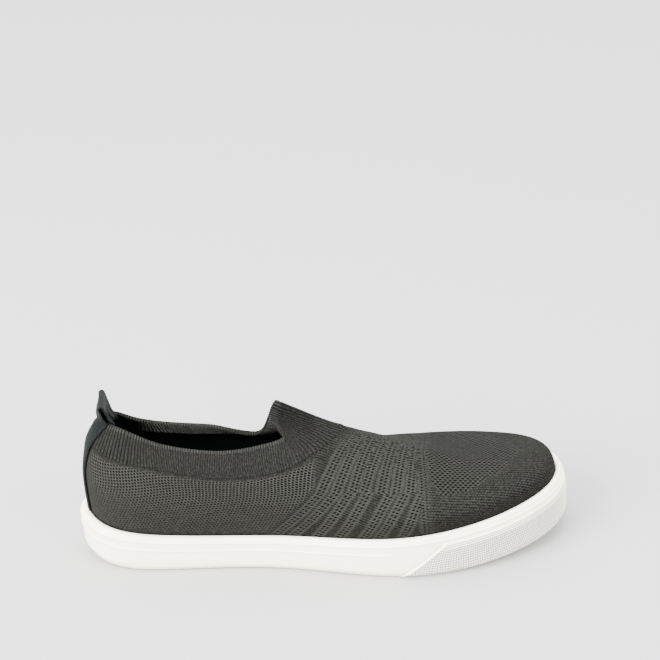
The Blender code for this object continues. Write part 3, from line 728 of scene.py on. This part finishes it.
def footbed_material():
    g = Graph("footbed_cloth", 0.95, Specular_IOR_Level=0.03)
    u, v = g.uv("weave")
    cloth = stagger(g, u, v, 0.0008, 0.0008)
    g.colour(g.mix(g.steps(cloth, -1.0, 1.0), (0.0011, 0.0013, 0.0013), (0.0033, 0.0037, 0.0037)))
    g.relief(g.bump(cloth, 0.0001))
    return g.mat


# Upper: the knit shell with its rib band, rim teeth, soft creases and a map of its holes.
# Its marks say where each knit lies: rib and turns for the collar's ribs, contrast for the strength of
# the painted shade in their grooves, eyelets on the quarters, columns and rows over the midfoot, patch
# over the toes, front for the rest.
def build_knit():
    cols = 841
    even = np.linspace(0, 1, 2001)
    rim_run = run_round(outer(even, 4.0))
    at = np.interp(np.linspace(0, 1, cols), 0.4 * even + 0.6 * rim_run / rim_run[-1], even)
    step = [2.965, 2.99, 3.01, 3.03, 3.06]
    levels = np.concatenate([np.linspace(0, 2.93, 80), step, np.linspace(3.12, 4.0, 27)])
    pts = grid(at, levels, outer)
    out = grid(at, levels, normal)
    s = levels[:, None] * np.ones(cols)
    arch = Arch(pts.reshape(-1, 3))
    height, ridge = (a.reshape(s.shape) for a in arch.read(pts.reshape(-1, 3)))
    x = pts[..., 0]

    rise = RIB_STEP * smooth(2.98, 3.04, s) + 0.00025 * hump(s, 3.03, 0.05)
    free = smooth(0.0, 0.9, s) * (1 - smooth(2.6, 2.95, s))
    soft = np.zeros_like(s)
    for place, lean, half, depth in CREASES:
        soft -= depth * hump(x, place - lean * np.abs(ridge), half) * smooth(0.004, 0.02, height)
    turn = 2 * np.pi * at
    soft += 0.00016 * np.sin(7 * turn + 1.3 * s) * np.sin(2.1 * s + 0.6)
    soft += 0.00010 * np.sin(17 * turn - 2.3 * s + 1.0)
    away = smooth(0.028, 0.036, from_heel(at))
    pts = pts + out * (rise + soft * free * away)[..., None]

    round_up = pts[-1] - pts[-3]
    round_up /= np.linalg.norm(round_up, axis=1)[:, None]
    tooth = np.cos(2 * np.pi * run_round(pts[-1]) / TOOTH) * away
    teeth = TOOTH_RISE * tooth
    mouth = inner(at, 4.0)
    rows = [
        pts[-1] * 0.82 + mouth * 0.18 + round_up * (RIM_ROUND * 0.8 + teeth)[:, None],
        (pts[-1] + mouth) / 2 + round_up * (RIM_ROUND + teeth * 0.5)[:, None],
        pts[-1] * 0.18 + mouth * 0.82 + round_up * RIM_ROUND * 0.7,
        mouth,
    ]
    foot = with_z(inset(at, SEAM_INSET), floor_z(inset(at, SEAM_INSET)[:, 0]) + FIT_GAP)
    full = np.concatenate([foot[None], pts, np.stack(rows)])
    rim = np.zeros(full.shape[:2])
    rim[-7:-1] = 0.5 + 0.5 * tooth

    def pad(a):
        return np.concatenate([a[:1], a, np.repeat(a[-1:], 4, axis=0)])

    up = run_up(full)
    around = np.linalg.norm(np.diff(full, axis=1), axis=2)
    around = np.concatenate([np.zeros((len(full), 1)), np.cumsum(around, axis=1)], axis=1)
    start = np.where(at < 0.5, np.searchsorted(at, 0.16), np.searchsorted(at, 0.84))
    around = around - around[:, start]
    wrap_uv = np.stack([around, up], axis=2)
    vamp_uv = np.stack([pad(x), pad(ridge) + 0.1], axis=2)
    lean = pad(x) - 0.56 * pad(height)
    lean_uv = np.stack([lean, pad(height) * 1.14], axis=2)

    off_line = np.full_like(s, 1.0)
    for x0, hb, x1, x2, ht, x3 in HOLE_BANDS:
        low = x0 + (x1 - x0) * height / hb
        high = x2 + (x3 - x2) * (height - hb) / (ht - hb)
        line = np.where(height < hb, low, high)
        off_line = np.where(np.abs(x - line) < np.abs(off_line), x - line, off_line)
    columns = smooth(0.0042, 0.0036, np.abs(off_line))
    line_uv = np.stack([pad(np.clip(off_line, -0.006, 0.006)), pad(height) * 1.25], axis=2)
    lateral_edge = np.minimum(0.1120 + 0.95 * height, 0.1440)
    rear = smooth(0.003, -0.003, x - lateral_edge)
    below = smooth(2.95, 2.80, s)
    sizes = 0.52 + 0.48 * smooth(0.9, 2.6, s)
    # Where the painted shade in the rib grooves is at full strength: at the back of the heel and further
    # round.
    full_shade_zone = np.maximum(smooth(0.13, 0.07, from_heel(at)), smooth(0.23, 0.30, from_heel(at)))
    marks = {
        "rib": smooth(2.99, 3.02, s),
        "groove_shade": np.broadcast_to(0.55 + 0.45 * full_shade_zone, s.shape),
        "eyelets": rear * below * sizes * smooth(0.05, 0.30, s),
        "columns": columns * below * (1 - rear) * smooth(0.215, 0.200, x),
        "patch": smooth(0.0, 0.004, np.interp(x, *np.asarray(PATCH).T) - np.abs(ridge - 0.002)),
        "front": smooth(-0.002, 0.002, x - lateral_edge),
        "rows": smooth(-0.002, 0.002, x - lateral_edge) * smooth(0.212, 0.204, x) * below,
        "turns": np.interp(at + lean_of(at) * (s - 3.5), at, rib_turns(at)),
    }
    marks = {k: pad(v) for k, v in marks.items()}
    marks["rim"] = rim
    uvs = {"wrap": wrap_uv, "vamp": vamp_uv, "lean": lean_uv, "line": line_uv}
    return lay("knit_upper", full, KNIT, uvs, marks, wrap=True)


def build_lining():
    at = np.linspace(0, 1, 481)
    levels = np.concatenate([np.linspace(4.0, 3.0, 26), np.linspace(2.9, 0.0, 40)])
    pts = grid(at, levels, inner)
    foot_xy = inset(at, SEAM_INSET + KNIT_WALL)
    foot = with_z(foot_xy, floor_z(foot_xy[:, 0]) + FIT_GAP)
    pts = np.concatenate([pts, foot[None]])
    down = run_up(pts)
    around = run_round(loop(BODY, at) * (LENGTH, BALL_WIDTH, INSTEP_HEIGHT))
    turns = rib_turns(at)
    teeth = 0.0005 * np.cos(2 * np.pi * turns)
    heel = smooth(0.085, 0.115, from_heel(at))
    marks = {
        "band": smooth(LINING_BAND + 0.0005, LINING_BAND - 0.0005, down + teeth) * heel,
        "turns": np.broadcast_to(turns, down.shape),
    }
    wrap_uv = np.stack([np.broadcast_to(around, down.shape), down], axis=2)
    return lay("lining", pts, LINING, {"wrap": wrap_uv}, marks, wrap=True)


# Foxing: the white cup with its two raised lines, lip, floor and underside.
def line_fade(at, share):
    if share > BUMPER_TOP:
        return 1.0
    return 1 - smooth(BUMPER_START[0] - 0.012, BUMPER_START[0] - 0.002, at) * (
        1 - smooth(BUMPER_END[0] + 0.002, BUMPER_END[0] + 0.012, at))


def build_foxing():
    at = np.linspace(0, 1, 641)
    beside = (-0.014, -0.010, -0.006, 0.0, 0.006, 0.010, 0.014)
    plain = [0.0, 0.02, 0.05, 0.09, 0.14, 0.25, 0.38, 0.5, 0.58, 0.75, 0.82, 0.94, 0.97, 1.0]
    shares = sorted(plain + [line + d for line in PIN_LINES for d in beside])
    rows = []
    for share in shares:
        line = float(hump(share, PIN_LINES[0], 0.013) + hump(share, PIN_LINES[1], 0.013))
        rows.append(side(at, share, LINE_RISE * line * line_fade(at, share)))
    seam = inset(at, SEAM_INSET - FIT_GAP)
    top = seam_height(at)
    rows.append(with_z(inset(at, 0.0022 + BUMPER_THICK * under_bumper(at)), top + 0.00035))
    rows.append(with_z(inset(at, (SEAM_INSET - LIP_INSET)), top + 0.0004))
    rows.append(with_z(seam, top))
    edge = floor_z(seam[:, 0])
    rows.append(with_z(seam, edge))
    for part in (0.75, 0.5, 0.25, 0.0):
        xy = seam * (1, part)
        rows.append(with_z(xy, floor_z(xy[:, 0])))
    recess = inset(at, OUTSOLE_INSET - FIT_GAP)
    low = tread_z(recess[:, 0])
    under = [with_z(recess, low + OUTSOLE_THICK + FIT_GAP), with_z(recess, low + OUTSOLE_PROUD + 0.0003)]
    under.append(with_z(inset(at, OUTSOLE_INSET - FIT_GAP - 0.0003), low + OUTSOLE_PROUD))
    under.append(with_z(inset(at, 0.0024), tread_z(inset(at, 0.0024)[:, 0]) + OUTSOLE_PROUD))
    pts = np.stack(under + rows)
    share = np.array([0.0] * len(under) + shares + [1.0] * (len(rows) - len(shares)))
    low = np.broadcast_to(smooth(0.5, 0.0, share)[:, None], pts.shape[:2])
    # Colour mark for a painted highlight along the two raised pin lines, set to 0.6 across the lip rows.
    upper_line_highlight = hump(share, PIN_LINES[1], 0.012)[:, None] * np.ones(len(at))
    lower_line_highlight = hump(share, PIN_LINES[0], 0.012)[:, None] * line_fade(at, PIN_LINES[0])
    line = np.maximum(upper_line_highlight, lower_line_highlight)
    line[-9:-5] = 0.6
    return lay("foxing_cup", pts, WHITE, None, {"low": low, "line": line}, wrap=True)


# Toe bumper: a strip of fine waffle with a plain edge, with painted shade in the waffle's recesses.
def build_bumper():
    shares = np.linspace(0.01, BUMPER_TOP, 52)
    cols = 1150
    rows = []
    recess_shade_rows = []
    length = run_round(side(np.linspace(BUMPER_START[0], BUMPER_END[0], 400), 0.4))[-1]
    count = round(length / WAFFLE_PITCH)
    lane = np.linspace(0, 1, cols)
    for share in shares:
        t = (share - shares[0]) / (shares[-1] - shares[0])
        start = BUMPER_START[0] + (BUMPER_START[1] - BUMPER_START[0]) * t
        end = BUMPER_END[0] + (BUMPER_END[1] - BUMPER_END[0]) * t
        at = start + (end - start) * lane
        ends = smooth(0.0, 0.008, lane) * smooth(1.0, 0.992, lane)
        field = smooth(0.008, 0.016, lane) * smooth(0.992, 0.984, lane) * smooth(0.02, 0.05, t)
        posts = 1 - (1 - np.cos(2 * np.pi * count * lane)) * smooth(0.84, 0.78, t)
        ledges = np.cos(2 * np.pi * 13 * t)
        nub = smooth(-0.35, 0.45, posts) * smooth(-0.45, 0.35, ledges)
        dip = WAFFLE_RISE * field * (1 - nub) * smooth(1.0, 0.97, t)
        edge = smooth(0.0, 0.03, t) * smooth(1.0, 0.97, t)
        thick = BUMPER_THICK * (0.35 + 0.65 * ends * edge) - dip
        rows.append(side(at, share, BUMPER_GAP + thick))
        # The low mark paints shade into the recesses between the waffle's nubs.
        recess_shade_rows.append(field * (1 - nub))
    t = np.linspace(0, 1, cols)
    bottom = side(BUMPER_START[0] + (BUMPER_END[0] - BUMPER_START[0]) * t, shares[0], 0.0)
    top = side(BUMPER_START[1] + (BUMPER_END[1] - BUMPER_START[1]) * t, shares[-1], 0.0)
    pts = np.concatenate([bottom[None], np.stack(rows), top[None]])
    low = np.concatenate([np.zeros((1, cols)), np.stack(recess_shade_rows), np.zeros((1, cols))])
    return lay("waffle_bumper", pts, BUMPER, None, {"low": low})


# Heel strip: the woven ribbon, folded over the rim into its loop and carried down inside.
def strip_ways(across, s, inside):
    fine = np.linspace(-0.09, 0.09, 181)
    p = inner(fine, s, FIT_GAP) if inside else outer(fine, s)
    run = np.append(0.0, np.cumsum(np.linalg.norm(np.diff(p, axis=0), axis=1)))
    run -= run[90]
    return np.interp(across * RIBBON_HALF * (INNER_END_SHARE if inside else 1.0), run, fine)


def strip_rows(across):
    """Middle surface of the ribbon, from its foot up the heel, over the fold and down inside."""
    rows = []
    lead = RIBBON_THICK / 2 + FIT_GAP
    for s in np.linspace(0.08, 4.0, 15):
        at = strip_ways(across, s, False)
        step = RIB_STEP * float(smooth(2.5, 2.95, s))
        rows.append(outer(at, s) + normal(at, s) * (lead + step))
    top_out = rows[-1]
    inner_rows = []
    for s in (4.0, 3.72, 3.44, 3.16, 2.9):
        at = strip_ways(across, s, True)
        inner_rows.append(inner(at, s, lead + LOOP_EASE))
    top_in = inner_rows[0]
    top = np.full(len(across), LOOP_TOP)
    fold = np.column_stack([LOOP_X + LOOP_SKEW * across, -across * RIBBON_HALF, top])
    back = np.array([-1.0, 0.0, 0.0])
    up = np.array([0.0, 0.0, 1.0])
    for table, rim in ((LOOP_OUT, top_out), (LOOP_IN, top_in)):
        for share, rearward, lower in table:
            rows.append(rim * share + fold * (1 - share) + back * rearward - up * lower)
    rows.extend(inner_rows)
    return np.stack(rows)


def finer(rows, times):
    """A smooth curve through the rows, with more rows between them."""
    pad = np.concatenate([rows[:1] * 2 - rows[1:2], rows, rows[-1:] * 2 - rows[-2:-1]])
    out = []
    for k in range(len(rows) - 1):
        p0, p1, p2, p3 = pad[k:k + 4]
        for u in np.arange(times) / times:
            out.append(0.5 * (2 * p1 + (p2 - p0) * u + (2 * p0 - 5 * p1 + 4 * p2 - p3) * u ** 2
                              + (3 * p1 - p0 - 3 * p2 + p3) * u ** 3))
    out.append(rows[-1])
    return np.stack(out)


def face_normals(mid):
    along = np.gradient(mid, axis=0)
    sideways = np.gradient(mid, axis=1)
    n = np.cross(sideways, along)
    return n / np.linalg.norm(n, axis=2)[..., None]


def build_strip():
    across = np.linspace(-1, 1, 25)
    mid = finer(strip_rows(across), 7)
    n = face_normals(mid)
    along = run_up(mid)[:, 12]
    edge = np.abs(across)
    half = RIBBON_THICK / 2 * (1 - 0.75 * smooth(0.93, 1.0, edge)) * (1 + 0.12 * smooth(0.80, 0.86, edge))
    front = mid + n * half[None, :, None]
    rear = mid - n * half[None, :, None]
    ring = np.concatenate([front, rear[:, ::-1], front[:, :1]], axis=1)
    u = np.concatenate([across, across[::-1], across[:1]]) * RIBBON_HALF
    v = np.broadcast_to(along[:, None], ring.shape[:2])
    uv = np.stack([np.broadcast_to(u, ring.shape[:2]), v], axis=2)
    mark = np.concatenate([edge, edge, edge[:1]])
    mark = np.broadcast_to(smooth(0.84, 0.90, mark), ring.shape[:2])
    piece = lay("heel_ribbon", ring, RIBBON, {"weave": uv}, {"edge": mark}, wrap=True)
    bm = bmesh.new()
    bm.from_mesh(piece.data)
    bmesh.ops.holes_fill(bm, edges=[e for e in bm.edges if e.is_boundary], sides=0)
    bm.to_mesh(piece.data)
    bm.free()
    return piece


# Stitches: short threads that hold the ribbon at its edges and across the foot of its loop.
def build_stitches():
    across = np.linspace(-1, 1, 41)
    mid = finer(strip_rows(across), 14)
    n = face_normals(mid)
    along = run_up(mid)[:, 20]
    runs = []
    rim = 14 * 14
    for col in (3, 37):
        marks = np.arange(0.002, along[rim] - 0.006, STITCH_PITCH)
        for a in marks:
            i = int(np.searchsorted(along, a))
            j = int(np.searchsorted(along, a + STITCH_LENGTH))
            runs.append((mid[i, col], mid[j, col], n[i, col], n[j, col]))
    for a in (along[rim] - 0.0045, along[rim] - 0.0060):
        i = int(np.searchsorted(along, a))
        for col in range(4, 36, 4):
            runs.append((mid[i, col], mid[i, col + 3], n[i, col], n[i, col + 3]))
    mesh = bpy.data.meshes.new("ribbon_stitches")
    bm = bmesh.new()
    layer = bm.loops.layers.uv.new("weave")
    thick = STITCH_RADIUS
    for a, b, na, nb in runs:
        rings = []
        direction = (b - a) / np.linalg.norm(b - a)
        for t in np.linspace(0, 1, 6):
            lift = (RIBBON_THICK / 2 + thick * (1.3 * np.sin(np.pi * t) - 0.5))
            nn = na * (1 - t) + nb * t
            centre = a * (1 - t) + b * t + nn * lift
            wide = np.cross(direction, nn)
            centre = centre - (LENGTH / 2, 0, 0)
            rings.append([bm.verts.new(centre + (wide * np.cos(q) + nn * np.sin(q)) * thick)
                          for q in np.arange(6) * np.pi / 3])
        for k in range(5):
            for q in range(6):
                r = (q + 1) % 6
                face = bm.faces.new([rings[k][q], rings[k][r], rings[k + 1][r], rings[k + 1][q]])
                face.smooth = True
                for corner, (p, w) in zip(face.loops, ((k, q), (k, q + 1), (k + 1, q + 1), (k + 1, q))):
                    corner[layer].uv = (w * 0.0002, p * 0.0003)
        bm.faces.new(rings[0][::-1])
        bm.faces.new(rings[-1])
    bmesh.ops.recalc_face_normals(bm, faces=bm.faces)
    bm.to_mesh(mesh)
    bm.free()
    mesh.materials.append(THREAD)
    obj = bpy.data.objects.new("ribbon_stitches", mesh)
    bpy.context.scene.collection.objects.link(obj)
    return obj


# Footbed: the loose insole, a little dished, with a rounded edge.
def build_footbed():
    at = np.linspace(0, 1, 321)
    reach = SEAM_INSET + KNIT_WALL + FIT_GAP * 2
    rim = inset(at, reach)
    rows = [with_z(rim, floor_z(rim[:, 0]) + FIT_GAP)]
    for by, up in ((0.0, 0.6), (0.0002, 0.82), (0.0008, 0.96), (0.0018, 1.0)):
        xy = inset(at, reach + by)
        rows.append(with_z(xy, floor_z(xy[:, 0]) + FIT_GAP + INSOLE_THICK * up))
    last = rows[-1]
    for share in np.linspace(0.94, 0.0, 22):
        xy = last[:, :2] * (1, share)
        rows.append(with_z(xy, floor_z(xy[:, 0]) + FIT_GAP + INSOLE_THICK - 0.0007 * (1 - share ** 4)))
    pts = np.stack(rows)
    return lay("footbed", pts, FOOTBED, {"weave": pts[..., :2].copy()}, None, wrap=True)


# Outsole: the dark insert with herringbone ribs at their true pitch.
def solid_of(rings, name):
    """Closed solid between a bottom and a top ring of points."""
    bm = bmesh.new()
    low, high = ([bm.verts.new(tuple(p - (LENGTH / 2, 0, 0))) for p in ring] for ring in rings)
    n = len(low)
    for i in range(n):
        bm.faces.new([low[i], low[(i + 1) % n], high[(i + 1) % n], high[i]])
    bm.faces.new(low)
    bm.faces.new(high[::-1])
    return done(bm, name)


def done(bm, name):
    bmesh.ops.recalc_face_normals(bm, faces=bm.faces)
    bmesh.ops.triangulate(bm, faces=bm.faces)
    mesh = bpy.data.meshes.new(name)
    bm.to_mesh(mesh)
    bm.free()
    obj = bpy.data.objects.new(name, mesh)
    bpy.context.scene.collection.objects.link(obj)
    return obj


def cut(target, tool, operation):
    mod = target.modifiers.new(operation.lower(), "BOOLEAN")
    mod.operation = operation
    mod.solver = "EXACT"
    mod.object = tool
    bpy.context.view_layer.update()
    graph = bpy.context.evaluated_depsgraph_get()
    mesh = bpy.data.meshes.new_from_object(target.evaluated_get(graph))
    target.modifiers.remove(mod)
    target.data = mesh


def groove_field():
    bm = bmesh.new()
    half = BALL_WIDTH * 0.56
    steps = int(2 * half / (ZIG_LENGTH / 2)) + 1
    y = -half + np.arange(steps + 1) * ZIG_LENGTH / 2
    zig = np.where(np.arange(steps + 1) % 2 == 0, -0.5, 0.5) * ZIG_RISE
    x = RIB_PITCH * 1.8
    while x < LENGTH - RIB_PITCH:
        sets = []
        for z, spread in ((-0.002, 0.0006), (TREAD_DEPTH, 0.0)):
            for xx in (x + zig - spread, x + zig + GROOVE + spread):
                sets.append([bm.verts.new((a - LENGTH / 2, b, z)) for a, b in zip(xx, y)])
        a, b, c, d = sets
        for p, q in ((a, b), (d, c), (c, a), (b, d)):
            for i in range(len(p) - 1):
                bm.faces.new([p[i], p[i + 1], q[i + 1], q[i]])
        bm.faces.new([a[0], b[0], d[0], c[0]])
        bm.faces.new([b[-1], a[-1], c[-1], d[-1]])
        x += RIB_PITCH
    return done(bm, "tool_grooves")


def band_solid(table, name):
    pts = np.asarray(table) * (LENGTH, BALL_WIDTH)
    knots = np.append(0.0, np.cumsum(np.hypot(*np.diff(pts, axis=0).T)))
    fine = np.linspace(0, knots[-1], 60)
    line = np.column_stack([np.interp(fine, knots, pts[:, 0]), np.interp(fine, knots, pts[:, 1])])
    for _ in range(12):
        line[1:-1] = (line[:-2] + 2 * line[1:-1] + line[2:]) / 4
    along = np.gradient(line, axis=0)
    along /= np.linalg.norm(along, axis=1)[:, None]
    across = np.column_stack([-along[:, 1], along[:, 0]]) * BAND_WIDTH / 2
    ring = np.vstack([line + across, (line - across)[::-1]])
    return solid_of((with_z(ring, -0.003), with_z(ring, TREAD_DEPTH + 0.002)), name)


def build_outsole():
    at = np.arange(240) / 240
    edge = inset(at, OUTSOLE_INSET)
    plate = solid_of((with_z(edge, 0.0), with_z(edge, OUTSOLE_THICK)), "tread_insert")
    field = inset(at, OUTSOLE_INSET + TREAD_BORDER)
    tools = [
        groove_field(),
        solid_of((with_z(field, -0.004), with_z(field, TREAD_DEPTH + 0.003)), "tool_field"),
        band_solid(FORE_BAND, "tool_fore_band"),
        band_solid(HEEL_BAND, "tool_heel_band"),
    ]
    cut(tools[0], tools[1], "INTERSECT")
    cut(tools[0], tools[2], "DIFFERENCE")
    cut(tools[0], tools[3], "DIFFERENCE")
    cut(plate, tools[0], "DIFFERENCE")
    for tool in tools:
        bpy.data.objects.remove(tool, do_unlink=True)
    bm = bmesh.new()
    bm.from_mesh(plate.data)
    bmesh.ops.triangulate(bm, faces=bm.faces)
    for v in bm.verts:
        v.co.z += float(tread_z(v.co.x + LENGTH / 2))
    bm.to_mesh(plate.data)
    bm.free()
    plate.data.materials.clear()
    plate.data.materials.append(DARK)
    return plate


KNIT = knit_material()
LINING = lining_material()
RIBBON = ribbon_material()
THREAD = thread_material()
WHITE = white_rubber_material()
BUMPER = bumper_material()
DARK = dark_rubber_material()
FOOTBED = footbed_material()

for build, node, slot in (
    (build_knit, "upper", "knit"),
    (build_lining, "upper", "knit"),
    (build_foxing, "foxing", "white_rubber"),
    (build_bumper, "toe_bumper", "bumper_rubber"),
    (build_strip, "heel_strip", "ribbon"),
    (build_stitches, "heel_strip", "ribbon"),
    (build_footbed, "insole", "footbed"),
    (build_outsole, "outsole", "dark_rubber"),
):
    piece = build()
    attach(piece, "root")
    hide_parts(node)


# Floor, light and camera.
def stage_floor():
    mesh = bpy.data.meshes.new("floor")
    corners = [(x * FLOOR_HALF, y * FLOOR_HALF, -0.0002) for x, y in ((-1, -1), (1, -1), (1, 1), (-1, 1))]
    mesh.from_pydata(corners, [], [(0, 1, 2, 3)])
    g = Graph("floor_paper", 0.9, Specular_IOR_Level=0.1)
    g.colour(g.mix(g.noise(3.0, 2.0), (0.350, 0.350, 0.351), (0.360, 0.360, 0.361)))
    mesh.materials.append(g.mat)
    obj = bpy.data.objects.new("floor", mesh)
    bpy.context.scene.collection.objects.link(obj)


def area_light(name, place, target, size, power):
    data = bpy.data.lights.new(name, "AREA")
    data.shape = "RECTANGLE"
    data.size, data.size_y = size
    data.energy = power
    obj = bpy.data.objects.new(name, data)
    bpy.context.scene.collection.objects.link(obj)
    back = np.array(place, float) - target
    back /= np.linalg.norm(back)
    right = np.cross((0.0, 0.0, 1.0), back)
    right /= np.linalg.norm(right)
    up = np.cross(back, right)
    obj.matrix_world = Matrix([[right[i], up[i], back[i], place[i]] for i in range(3)] + [[0, 0, 0, 1]])


def studio():
    world = bpy.data.worlds.new("studio")
    world.use_nodes = True
    ground = world.node_tree.nodes["Background"]
    ground.inputs["Color"].default_value = (1.0, 1.0, 1.0, 1.0)
    ground.inputs["Strength"].default_value = 4.2
    bpy.context.scene.world = world
    area_light("key", (-1.4, -1.1, 1.2), (0.0, 0.0, 0.03), (1.4, 1.4), 240.0)
    area_light("fill", (1.2, -0.8, 0.9), (0.0, 0.0, 0.03), (1.0, 1.0), 40.0)
    area_light("top", (0.0, 0.5, 1.8), (0.0, 0.0, 0.0), (1.6, 1.6), 62.0)


def camera():
    right = (0.99756756, 0.02814102, -0.06377338)
    up = (0.04232263, 0.48243489, 0.87490878)
    back = (0.05538733, -0.87547967, 0.48007040)
    place = (0.07589, -1.00956, 0.69241)
    data = bpy.data.cameras.new("camera")
    data.sensor_fit = "HORIZONTAL"
    data.sensor_width = 36.0
    data.lens = 110.306
    obj = bpy.data.objects.new("camera", data)
    bpy.context.scene.collection.objects.link(obj)
    obj.matrix_world = Matrix([[right[i], up[i], back[i], place[i]] for i in range(3)] + [[0, 0, 0, 1]])
    bpy.context.scene.camera = obj


stage_floor()
studio()
camera()
